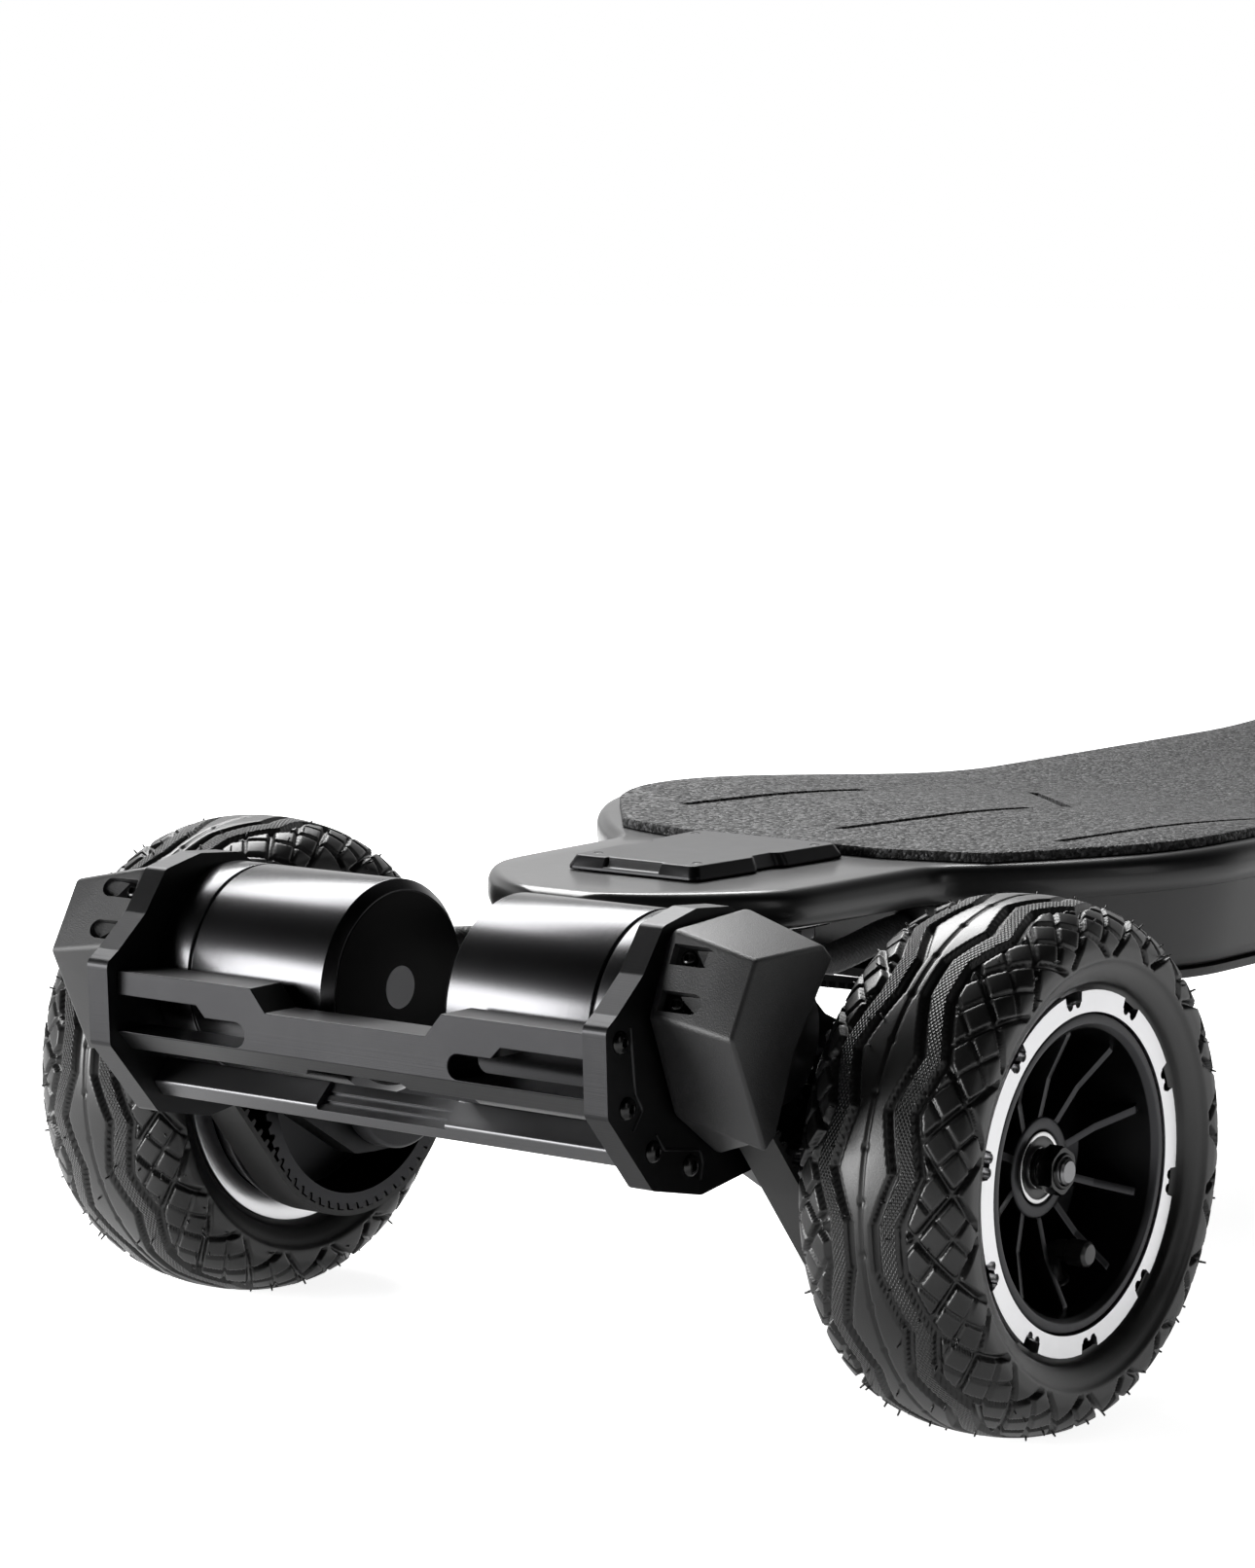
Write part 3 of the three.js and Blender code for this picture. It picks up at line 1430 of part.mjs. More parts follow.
const deckBlack = material("deck_black", 0x17181a, 0.1, 0.4);
const gripBlack = material("grip_black", 0x2a2b2e, 0, 0.95);
const coverBlack = material("cover_black", 0x16171a, 0, 0.6);
const anodisedBlack = material("anodised_black", 0x1b1c20, 0.85, 0.35);
const machinedAluminium = material("machined_aluminium", 0xc9cbd0, 0.95, 0.3);
const forgedBlack = material("forged_black", 0x202124, 0.6, 0.5);
const bearingSteel = material("bearing_steel", 0xb9bbc0, 0.95, 0.25);
const zincSteel = material("zinc_steel", 0xa5a7ab, 0.9, 0.35);
const tyreRubber = material("tyre_rubber", 0x1a1a1b, 0, 0.85);
const beltRubber = material("belt_rubber", 0x141415, 0, 0.7);
const bushingPolymer = material("bushing_polymer", 0x303236, 0, 0.6);
const packWrap = material("pack_wrap", 0x2d5f9a, 0, 0.45);
const cableBraid = material("cable_braid", 0x232427, 0, 0.9);

const board = new THREE.Group();
board.name = "mountainboard";

function frame(parent, x, y, z, turnedRound = false) {
  const group = new THREE.Group();
  group.position.set(x, y, z);
  if (turnedRound) group.rotation.z = Math.PI;
  parent.add(group);
  return group;
}

function place(parent, name, geometry, finish) {
  const mesh = new THREE.Mesh(tidy(geometry), finish);
  mesh.name = name;
  parent.add(mesh);
}

// Assembly
const deckFrame = frame(board, 0, deckMiddleY, floorToAxle);
place(deckFrame, "deck", deck(), deckBlack);
place(deckFrame, "grip_pad", gripPad(), gripBlack);
place(deckFrame, "battery_cover", batteryCover(), coverBlack);
place(deckFrame, "battery_pack", batteryPack(), packWrap);
place(deckFrame, "speed_controller", speedController(), forgedBlack);
place(deckFrame, "charge_port", chargePort(), anodisedBlack);
place(deckFrame, "charge_port_cap", chargePortCap(), bushingPolymer);
place(deckFrame, "power_button", powerButton(), machinedAluminium);

const ends = [
  { end: "rear", y: rearAxleY, turnedRound: false, driven: true },
  { end: "front", y: frontAxleY, turnedRound: true, driven: false },
];

for (const { end, y, turnedRound, driven } of ends) {
  const truck = frame(board, 0, y, floorToAxle, turnedRound);
  place(truck, `${end}_top_plate`, topPlate(), anodisedBlack);
  place(truck, `${end}_baseplate`, baseplate(), forgedBlack);
  place(truck, `${end}_kingpin`, kingpin(), zincSteel);
  place(truck, `${end}_bushing_upper`, bushing(1), bushingPolymer);
  place(truck, `${end}_bushing_lower`, bushing(-1), bushingPolymer);
  place(truck, `${end}_hanger`, hanger(driven), forgedBlack);
  place(truck, `${end}_axle`, axle(), zincSteel);
  for (const side of ["left", "right"]) {
    const onRight = (side === "right") !== turnedRound;
    const nut = onRight ? axleNut() : mirrored(axleNut());
    place(truck, `axle_nut_${end}_${side}`, nut, zincSteel);
    const wheel = frame(board, side === "right" ? halfTrack : -halfTrack, y, floorToAxle, side === "left");
    place(wheel, `tyre_${end}_${side}`, tyre(), tyreRubber);
    place(wheel, `rim_${end}_${side}`, rim(), anodisedBlack);
    place(wheel, `rim_ring_${end}_${side}`, rimRing(), machinedAluminium);
    place(wheel, `bearing_set_${end}_${side}`, bearingSet(), bearingSteel);
    if (driven) place(wheel, `wheel_pulley_${side}`, wheelPulley(), anodisedBlack);
  }
}

const drive = frame(board, 0, rearAxleY, floorToAxle);
const sided = (side, geometry) => (side === "right" ? geometry : mirrored(geometry));
for (const side of ["left", "right"]) {
  place(drive, `motor_plate_${side}`, sided(side, motorPlate()), anodisedBlack);
  place(drive, `motor_can_${side}`, sided(side, motorCan()), anodisedBlack);
  place(drive, `motor_rotor_${side}`, sided(side, motorRotor()), bearingSteel);
  place(drive, `motor_pulley_${side}`, sided(side, motorPulley()), zincSteel);
  place(drive, `drive_belt_${side}`, sided(side, driveBelt()), beltRubber);
  place(drive, `belt_cover_${side}`, sided(side, beltCover()), coverBlack);
  place(drive, `motor_cable_${side}`, sided(side, motorCable()), cableBraid);
}
place(drive, "guard_bar", guardBar(), anodisedBlack);
place(drive, "guard_brace", guardBrace(), anodisedBlack);

export default board;
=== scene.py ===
# %% [markdown]
# An electric mountainboard is a long stiff deck on two sprung trucks with four air tyres.
# Its measured model already exists, with the bodies that turn and slide in it.
# This script builds the looks round that model, so it is loaded before anything else.
# Every piece made below, apart from the two cable sleeves, rides on one of the model's bodies, and moves
# when that body moves.

# %% Load the measured model
from math import acos, atan2, cos, degrees, hypot, pi, radians, sin, sqrt, tan

import bmesh
import bpy
import numpy as np
from mathutils import Matrix, Vector
from mathutils.geometry import tessellate_polygon


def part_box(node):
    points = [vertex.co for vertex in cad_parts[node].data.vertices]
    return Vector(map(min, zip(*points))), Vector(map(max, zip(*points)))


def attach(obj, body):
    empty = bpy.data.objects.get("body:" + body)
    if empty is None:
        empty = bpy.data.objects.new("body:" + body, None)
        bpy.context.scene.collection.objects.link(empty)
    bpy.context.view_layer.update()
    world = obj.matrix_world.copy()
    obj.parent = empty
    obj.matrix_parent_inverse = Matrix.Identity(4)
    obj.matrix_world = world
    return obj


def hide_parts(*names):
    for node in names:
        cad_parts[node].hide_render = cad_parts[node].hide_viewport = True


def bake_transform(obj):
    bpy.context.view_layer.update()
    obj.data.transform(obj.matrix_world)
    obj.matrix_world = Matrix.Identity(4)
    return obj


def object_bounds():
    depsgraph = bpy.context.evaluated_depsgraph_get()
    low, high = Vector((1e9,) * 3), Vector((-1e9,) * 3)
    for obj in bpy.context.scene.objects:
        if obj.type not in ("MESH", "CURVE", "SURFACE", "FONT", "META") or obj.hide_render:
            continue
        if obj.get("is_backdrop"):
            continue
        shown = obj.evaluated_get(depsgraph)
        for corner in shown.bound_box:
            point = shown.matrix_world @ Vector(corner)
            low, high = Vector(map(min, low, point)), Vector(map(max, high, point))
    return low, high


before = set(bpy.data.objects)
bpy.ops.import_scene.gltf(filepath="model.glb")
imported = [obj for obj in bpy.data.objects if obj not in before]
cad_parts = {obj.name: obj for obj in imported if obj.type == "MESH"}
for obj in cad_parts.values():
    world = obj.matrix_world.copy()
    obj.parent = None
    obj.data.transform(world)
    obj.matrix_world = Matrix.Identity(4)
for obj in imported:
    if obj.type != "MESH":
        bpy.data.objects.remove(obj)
cad_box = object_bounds()

# %% [markdown]
# Makers draw such a board in millimetres, so the shapes below are in millimetres too.
# The places of the axles and wheels are read from the model, not typed again.
# A wheel is drawn lying on its own axle, with x pointing outwards, and is then put in place.
# The left wheels and the whole front truck are the same shapes, turned round by half a turn.

# %% Read the main places from the model
MM = 0.001
ENDS = ("rear", "front")
SIDES = ("left", "right")


def span(node):
    """Lowest and highest corner of a node of the model, in millimetres."""
    low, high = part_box(node)
    return low / MM, high / MM


def place(x, y, z, half_turn=False):
    """Where a group of pieces sits: a shift in millimetres, and maybe half a turn about the vertical."""
    turn = Matrix.Rotation(pi if half_turn else 0, 4, "Z")
    return Matrix.Translation(Vector((x, y, z)) * MM) @ turn


wheel_place = {}
for end in ENDS:
    for side in SIDES:
        low, high = span(f"tyre_{end}_{side}")
        wheel_place[end, side] = place(*((low + high) / 2), half_turn=side == "left")
tyre_radius = (high.z - low.z) / 2
axle_height = wheel_place["rear", "right"].translation.z / MM
half_track = wheel_place["rear", "right"].translation.x / MM
rear_axle_y = wheel_place["rear", "right"].translation.y / MM
front_axle_y = wheel_place["front", "right"].translation.y / MM
wheelbase = front_axle_y - rear_axle_y
truck_place = {
    "rear": place(0, rear_axle_y, axle_height),
    "front": place(0, front_axle_y, axle_height, half_turn=True),
}
deck_place = place(0, (rear_axle_y + front_axle_y) / 2, axle_height)
print(f"wheelbase {wheelbase:.1f} mm, track {2 * half_track:.1f} mm, tyre radius {tyre_radius:.1f} mm")

# %% [markdown]
# The picture was taken from low behind the right rear wheel with a long lens.
# A long lens far away keeps the wheels round and the edges nearly parallel.
# The camera's place and aim were worked out from known points of the board in the picture.

# %% Camera
# Metres from the point of the floor under the rear axle's middle.
CAMERA_PLACE = (0.8267, -1.0652, 0.3425)
CAMERA_TURN = radians(37.55)
CAMERA_DIP = radians(6.79)
LENS = 99.38

camera = bpy.data.objects.new("camera", bpy.data.cameras.new("camera"))
camera.data.lens = LENS
camera.data.sensor_width = 36
camera.location = Vector(CAMERA_PLACE) + Vector((0, rear_axle_y * MM, 0))
aim = Vector((-sin(CAMERA_TURN) * cos(CAMERA_DIP), cos(CAMERA_TURN) * cos(CAMERA_DIP), -sin(CAMERA_DIP)))
camera.rotation_mode = "QUATERNION"
camera.rotation_quaternion = aim.to_track_quat("-Z", "Y")
bpy.context.scene.collection.objects.link(camera)
bpy.context.scene.camera = camera
bpy.context.scene.view_settings.view_transform = "Standard"
print("camera", [round(v, 3) for v in camera.location], "aim", [round(v, 3) for v in aim])

# %% [markdown]
# Shader nodes are easier to write with one small helper that makes a node and fills its inputs.
# An input takes either a plain value or another node's output, and then a link is drawn.

# %% Node helpers


def fill(tree, made, inputs):
    """Fills a node's inputs, which go by name or number."""
    for key, value in inputs.items():
        if isinstance(value, bpy.types.NodeSocket):
            tree.links.new(value, made.inputs[key])
        else:
            made.inputs[key].default_value = value
    return made


def add(tree, kind, inputs=None, **settings):
    """Makes a shader node, applies its settings and fills its inputs."""
    made = tree.nodes.new("ShaderNode" + kind)
    for key, value in settings.items():
        setattr(made, key, value)
    return fill(tree, made, inputs or {})


def math(tree, operation, first, second=0.0, clamp=False):
    """One step of arithmetic on a value."""
    return add(tree, "Math", {0: first, 1: second}, operation=operation, use_clamp=clamp).outputs[0]


def ranged(tree, value, low, high, start=0.0, stop=1.0):
    """Maps a value from one range to another, and holds it at the ends."""
    inputs = {"Value": value, "From Min": low, "From Max": high, "To Min": start, "To Max": stop}
    return add(tree, "MapRange", inputs).outputs[0]


def noise_at(tree, where, scale, detail, rough):
    """Soft noise as one value."""
    inputs = {"Vector": where, "Scale": scale, "Detail": detail, "Roughness": rough}
    return add(tree, "TexNoise", inputs).outputs[0]


def mix(tree, share, first, second):
    """A colour between two. A Mix node has sockets of every type, so its colours go by number."""
    return add(tree, "Mix", {"Factor": share, 6: first, 7: second}, data_type="RGBA").outputs[2]


def start_group(name, inputs, outputs):
    """A node group with named sockets. Returns its tree, its input node and its output node."""
    tree = bpy.data.node_groups.new(name, "ShaderNodeTree")
    for label, kind, value in inputs:
        socket = tree.interface.new_socket(label, in_out="INPUT", socket_type="NodeSocket" + kind)
        if value is not None:
            socket.default_value = value
    for label, kind in outputs:
        tree.interface.new_socket(label, in_out="OUTPUT", socket_type="NodeSocket" + kind)
    return tree, tree.nodes.new("NodeGroupInput").outputs, tree.nodes.new("NodeGroupOutput").inputs


def use_group(tree, group, inputs):
    """Places a node group in a material."""
    return fill(tree, add(tree, "Group", node_tree=group), inputs).outputs


# %% [markdown]
# Black objects are photographed by what they reflect, not by the light that falls on them.
# The studio here has a white sweep, a tall softbox low behind the board on the left, and a
# long overhead one beyond it. Their reflections draw the bright bands on the motors.
# The world is pure white for what the camera, a gloss or a glass sees near the sweep, and a
# softer grey as light, so that a colour renders about as it is written.

# %% World light and floor
ROOM_LIGHT = 0.16
SWEEP_GLOW = 0.88
SWEEP_SHEEN = 0.45
CEILING_SHARE = 0.06
ROOM_SHARE = 0.05
BACKDROP_SIDE = (-0.61, 0.79, 0)
BACKDROP_FROM, BACKDROP_TO = -0.1, 0.45
CEILING_FROM, CEILING_TO = 0.12, 0.5

world = bpy.data.worlds.new("studio")
bpy.context.scene.world = world
world.use_nodes = True
sky = world.node_tree
sky.nodes.clear()
path = add(sky, "LightPath").outputs
direction = add(sky, "TexCoord").outputs["Generated"]
height = add(sky, "SeparateXYZ", {0: direction}).outputs["Z"]
beyond = add(sky, "VectorMath", {0: direction, 1: BACKDROP_SIDE}, operation="DOT_PRODUCT").outputs["Value"]
backdrop = ranged(sky, beyond, BACKDROP_FROM, BACKDROP_TO, ROOM_SHARE, 1)
ceiling = ranged(sky, height, CEILING_FROM, CEILING_TO, 1, CEILING_SHARE)
glossy = math(sky, "MULTIPLY", path["Is Glossy Ray"], ceiling)
glossy = math(sky, "MULTIPLY", glossy, backdrop)
seen = math(sky, "MAXIMUM", path["Is Camera Ray"], path["Is Transmission Ray"])
seen = math(sky, "MAXIMUM", seen, glossy)
glow = math(sky, "MAXIMUM", seen, math(sky, "MULTIPLY", path["Is Diffuse Ray"], ROOM_LIGHT))
back = add(sky, "Background", {"Color": (1, 1, 1, 1), "Strength": glow})
sky.links.new(back.outputs[0], add(sky, "OutputWorld").inputs["Surface"])

floor_paint = bpy.data.materials.new("white_sweep")
floor_paint.use_nodes = True
tree = floor_paint.node_tree
tree.nodes.clear()
path = add(tree, "LightPath").outputs
seen = math(tree, "MAXIMUM", path["Is Camera Ray"], path["Is Transmission Ray"])
seen = math(tree, "MAXIMUM", seen, math(tree, "MULTIPLY", path["Is Glossy Ray"], SWEEP_SHEEN))
paint = add(tree, "BsdfDiffuse", {"Color": (0.9, 0.9, 0.9, 1)})
shine = add(tree, "Emission", {"Strength": math(tree, "MULTIPLY", seen, SWEEP_GLOW)})
both = add(tree, "AddShader", {0: paint.outputs[0], 1: shine.outputs[0]})
tree.links.new(both.outputs[0], add(tree, "OutputMaterial").inputs["Surface"])

FLOOR_HALF = 30
corners = [(x * FLOOR_HALF, y * FLOOR_HALF, 0) for x, y in ((-1, -1), (1, -1), (1, 1), (-1, 1))]
floor_mesh = bpy.data.meshes.new("floor")
floor_mesh.from_pydata(corners, [], [(0, 1, 2, 3)])
floor_mesh.materials.append(floor_paint)
floor = bpy.data.objects.new("floor", floor_mesh)
bpy.context.scene.collection.objects.link(floor)
floor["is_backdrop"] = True
print("floor", 2 * FLOOR_HALF, "m square, room light", ROOM_LIGHT)

# %% [markdown]
# Each softbox is an area lamp in the shape of a rectangle, aimed at a point on the board.
# Its place is given in metres from the floor under the rear axle's middle.

# %% Softboxes
SOFTBOXES = {
    # name: place, point that it faces, width, height, radiance
    "rear_left": ((-1.3, -1.7, 0.4), (0, 0, 0.12), 1.05, 0.74, 24),
    "beyond_top": ((-1.05, 0.75, 1.5), (0, 0.1, 0.12), 1.5, 0.8, 15),
    "right_fill": ((2.1, -0.2, 0.9), (0.1, 0, 0.1), 0.5, 1.2, 1.2),
}


def softbox(name, where, towards, width, tall, radiance):
    """A rectangular lamp that faces a point. Its power follows from how bright its face looks."""
    lamp = bpy.data.lights.new(name, "AREA")
    lamp.shape = "RECTANGLE"
    lamp.size = width
    lamp.size_y = tall
    lamp.energy = radiance * width * tall * pi
    made = bpy.data.objects.new(name, lamp)
    made.location = Vector(where) + Vector((0, rear_axle_y * MM, 0))
    made.rotation_mode = "QUATERNION"
    made.rotation_quaternion = (Vector(towards) - Vector(where)).to_track_quat("-Z", "Y")
    made.visible_camera = False
    bpy.context.scene.collection.objects.link(made)


for name, (where, towards, width, tall, radiance) in SOFTBOXES.items():
    softbox(name, where, towards, width, tall, radiance)
print(len(SOFTBOXES), "softboxes")

# %% [markdown]
# Three kinds of shape make most machined parts: a flat plate cut along an outline, a turned
# part from a lathe, and a skin stretched over a row of cross-sections.
# Each helper returns plain lists of points and faces, so shapes can be joined, mirrored or
# cut before they become objects. Writing them as code keeps every size readable.

# %% Shape helpers


def rounded(corners, radius, steps=4, closed=True):
    """An outline with an arc in place of each corner. An open one keeps its two ends."""
    points = [Vector(c) for c in corners]
    result = []
    for i, corner in enumerate(points):
        back = points[i - 1] - corner
        ahead = points[(i + 1) % len(points)] - corner
        room = min(back.length, ahead.length) / 2
        back.normalize()
        ahead.normalize()
        half = acos(max(-1, min(1, back.dot(ahead)))) / 2
        at_end = not closed and i in (0, len(points) - 1)
        if at_end or half > 0.49 * pi:
            result.append(tuple(corner))
            continue
        reach = min(radius / tan(half), room * 0.98)
        arc = reach * tan(half)
        centre = corner + (back + ahead).normalized() * (arc / sin(half))
        first = corner + back * reach - centre
        last = corner + ahead * reach - centre
        for k in range(steps + 1):
            result.append(tuple(centre + first.lerp(last, k / steps).normalized() * arc))
    return result


def rectangle(left, right, low, high):
    """The four corners of a rectangle."""
    return [(left, low), (right, low), (right, high), (left, high)]


def circle(radius, steps=48, across=0.0, up=0.0):
    """Points round a circle."""
    turns = [2 * pi * i / steps for i in range(steps)]
    return [(across + radius * cos(t), up + radius * sin(t)) for t in turns]


def joined(*shapes):
    """Several shapes as one."""
    points, faces = [], []
    for more_points, more_faces in shapes:
        start = len(points)
        points += more_points
        faces += [tuple(start + i for i in face) for face in more_faces]
    return points, faces


def changed(shape, matrix):
    """A shape moved or turned by a matrix, in millimetres."""
    return [tuple(matrix @ Vector(p)) for p in shape[0]], shape[1]


def shifted(shape, x=0.0, y=0.0, z=0.0):
    return changed(shape, Matrix.Translation((x, y, z)))


def mirrored(shape):
    """The same shape on the other side of the centreline."""
    return [(-x, y, z) for x, y, z in shape[0]], [tuple(reversed(face)) for face in shape[1]]


def loft(loops):
    """A closed skin over a row of loops with equal point counts."""
    count = len(loops[0])
    last = (len(loops) - 1) * count
    faces = [tuple(range(count)), tuple(range(last, last + count))]
    for k in range(len(loops) - 1):
        for i in range(count):
            j = (i + 1) % count
            faces.append((k * count + i, k * count + j, (k + 1) * count + j, (k + 1) * count + i))
    return [tuple(p) for loop in loops for p in loop], faces


def slab(outline, low, high, along, holes=()):
    """A flat outline pulled straight along an axis. The two coordinates are the other two axes."""
    order = {"x": (2, 0, 1), "y": (0, 2, 1), "z": (0, 1, 2)}[along]
    rings = [list(outline), *[list(hole) for hole in holes]]
    flat = [point for ring in rings for point in ring]
    count = len(flat)
    points = [tuple((a, b, level)[k] for k in order) for level in (low, high) for a, b in flat]
    caps = [tuple(range(count))]
    if holes:
        caps = tessellate_polygon([[Vector((a, b, 0)) for a, b in ring] for ring in rings])
    faces = [tuple(cap) for cap in caps] + [tuple(i + count for i in cap) for cap in caps]
    start = 0
    for ring in rings:
        for i in range(len(ring)):
            j = (i + 1) % len(ring)
            faces.append((start + i, start + j, start + j + count, start + i + count))
        start += len(ring)
    return points, faces


def turned(profile, steps=96, closed=True):
    """A profile of (x, radius) points turned about the x axis, as on a lathe."""
    points, faces = [], []
    for t in [2 * pi * i / steps for i in range(steps)]:
        points += [(x, r * cos(t), r * sin(t)) for x, r in profile]
    ring = len(profile)
    for i in range(steps):
        j = (i + 1) % steps
        for k in range(ring if closed else ring - 1):
            n = (k + 1) % ring
            faces.append((i * ring + k, i * ring + n, j * ring + n, j * ring + k))
    return points, faces


def spun(profile, edge, arcs, steps):
    """A turned part whose profile starts and ends on the axis, with its corners eased."""
    return turned(rounded(profile, edge, arcs, closed=False), steps, closed=False)


def sleeve_ring(low, high, inner, outer, edge, arcs, steps):
    """A turned ring with a square section and eased corners."""
    return turned(rounded([(low, inner), (low, outer), (high, outer), (high, inner)], edge, arcs), steps)


def rod(radius, low, high, edge=0.0, steps=48):
    """A round bar along x, with its two edges eased."""
    corners = [(low, 0), (low, radius), (high, radius), (high, 0)]
    profile = rounded(corners, edge, 3, closed=False) if edge else corners
    return turned(profile, steps, closed=False)


# %% [markdown]
# Hoses, cables and valve stems follow a few given points.
# A Catmull-Rom curve passes smoothly through them, as a bent cable does, and a ring of points
# is carried along it without twisting. A curve object could do this too, but a mesh tube can
# also carry the raised strands of a braid.

# %% Curves and tubes


def smooth_path(knots, steps):
    """Evenly spaced points on a smooth curve through the knots."""
    knots = [np.array(k, float) for k in knots]
    knots = [2 * knots[0] - knots[1], *knots, 2 * knots[-1] - knots[-2]]
    fine = []
    for four in zip(knots, knots[1:], knots[2:], knots[3:]):
        gaps = [np.linalg.norm(q - p) ** 0.5 for p, q in zip(four, four[1:])]
        when = np.cumsum([0, *gaps])
        for t in np.linspace(when[1], when[2], 24, endpoint=False):
            level = list(four)
            for width in (1, 2, 3):
                low = max(0, width - 2)
                pairs = range(len(level) - 1)
                spans = [(when[k], when[k + width]) for k in pairs] if width < 3 else [(when[1], when[2])]
                if width == 2:
                    spans = [(when[0], when[2]), (when[1], when[3])]
                level = [
                    ((b - t) * level[k] + (t - a) * level[k + 1]) / (b - a)
                    for k, (a, b) in enumerate(spans)
                ]
            fine.append(level[0])
    fine.append(knots[-2])
    fine = np.array(fine)
    walked = np.concatenate([[0], np.cumsum(np.linalg.norm(np.diff(fine, axis=0), axis=1))])
    stops = np.linspace(0, walked[-1], steps + 1)
    return np.stack([np.interp(stops, walked, fine[:, k]) for k in range(3)], axis=1)


def pipe(path, radius, sides=24):
    """A tube along a path. The radius is one number, one for each point, or one for each ring point."""
    path = np.asarray(path, float)
    ahead = np.gradient(path, axis=0)
    ahead /= np.linalg.norm(ahead, axis=1)[:, None]
    helper = (0, 0, 1) if abs(ahead[0][2]) < 0.9 else (0, 1, 0)
    across = np.cross(ahead[0], helper)
    if np.ndim(radius) == 1:
        radius = np.asarray(radius, float).reshape(-1, 1)
    radius = np.broadcast_to(radius, (len(path), sides))
    turns = np.linspace(0, 2 * pi, sides, endpoint=False)
    loops = []
    for point, way, sizes in zip(path, ahead, radius):
        across = across - way * across.dot(way)
        across /= np.linalg.norm(across)
        up = np.cross(way, across)
        loops.append([tuple(point + r * (cos(t) * across + sin(t) * up)) for t, r in zip(turns, sizes)])
    return loft(loops)


# %% [markdown]
# Pockets, sockets and bays are cut the way a mill cuts them: the tool's shape is taken away
# from the blank. Blender's exact Boolean does that, on temporary objects.
# Real edges are never sharp, and it is the small rounded edge that catches the light, so a
# Bevel modifier eases each edge and a Weighted Normal keeps the flats looking flat.

# %% Cutting and making pieces
made_pieces = []


def boolean(operation, body, *tools):
    """Cuts the tools out of a body, or joins them to it, with exact Booleans."""
    scratch = []
    for points, faces in (body, *tools):
        mesh = bpy.data.meshes.new("scratch")
        mesh.from_pydata(points, [], faces)
        work = bmesh.new()
        work.from_mesh(mesh)
        bmesh.ops.remove_doubles(work, verts=work.verts, dist=0.002)
        bmesh.ops.recalc_face_normals(work, faces=work.faces)
        work.to_mesh(mesh)
        work.free()
        scratch.append(bpy.data.objects.new("scratch", mesh))
        bpy.context.scene.collection.objects.link(scratch[-1])
    for tool in scratch[1:]:
        step = scratch[0].modifiers.new("step", "BOOLEAN")
        step.operation = operation
        step.solver = "EXACT"
        step.object = tool
    result = scratch[0].evaluated_get(bpy.context.evaluated_depsgraph_get()).to_mesh()
    points = [tuple(v.co) for v in result.vertices]
    faces = [tuple(p.vertices) for p in result.polygons]
    for piece in scratch:
        mesh = piece.data
        bpy.data.objects.remove(piece)
        bpy.data.meshes.remove(mesh)
    return points, faces


def to_mesh(name, shape, finish):
    """A mesh in metres, with doubled points merged, faces pointing out and smooth shading."""
    points, faces = shape
    mesh = bpy.data.meshes.new(name)
    mesh.from_pydata([Vector(p) * MM for p in points], [], faces)
    work = bmesh.new()
    work.from_mesh(mesh)
    bmesh.ops.remove_doubles(work, verts=work.verts, dist=0.002 * MM)
    bmesh.ops.recalc_face_normals(work, faces=work.faces)
    work.to_mesh(mesh)
    work.free()
    mesh.shade_smooth()
    mesh.set_sharp_from_angle(angle=radians(34))
    mesh.materials.append(finish)
    return mesh


def put(name, mesh, body, where, replaces=(), slot=None):
    """Makes an object from a mesh and puts it in place. It rides on a body, or on none if no body is given.
    """
    piece = bpy.data.objects.new(name, mesh)
    bpy.context.scene.collection.objects.link(piece)
    piece.matrix_world = where
    if body:
        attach(piece, body)
    if replaces:
        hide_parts(*replaces)
    made_pieces.append(name)
    return piece


def ease(piece, width, segments=3):
    """Rounds every edge of a piece by a width in millimetres."""
    bevel = piece.modifiers.new("eased edges", "BEVEL")
    bevel.width = width * MM
    bevel.segments = segments
    bevel.limit_method = "ANGLE"
    bevel.angle_limit = radians(32)
    bevel.use_clamp_overlap = True
    flats = piece.modifiers.new("flat faces", "WEIGHTED_NORMAL")
    flats.keep_sharp = True
    return piece


def build(name, shape, finish, body, where, replaces=(), edge=0.0):
    """The usual way from a shape to a finished piece."""
    piece = put(name, to_mesh(name, shape, finish), body, where, replaces)
    return ease(piece, edge) if edge else piece


# %% [markdown]
# Three effects come back in almost every finish, so each is a node group with named sockets.
# Fine grain is the tooth of moulded plastic, bead-blasted metal or rubber.
# Handling is the faint unevenness that touch and dust leave in colour and gloss.
# Tool lines are the rings or strokes that a cutter leaves on machined metal.

# %% Shared effects


def grain_group():
    """Noise at the size of the real grain, as a height and as a tone around one half."""
    tree, given, out = start_group(
        "fine_grain",
        [("Vector", "Vector", None), ("Grain Size mm", "Float", 0.4), ("Roughness", "Float", 0.6)],
        [("Height", "Float"), ("Tone", "Float")],
    )
    scale = math(tree, "DIVIDE", 1000.0, given["Grain Size mm"])
    noise = noise_at(tree, given["Vector"], scale, 3.0, given["Roughness"])
    tree.links.new(noise, out["Height"])
    tree.links.new(ranged(tree, noise, 0.3, 0.7), out["Tone"])
    return tree


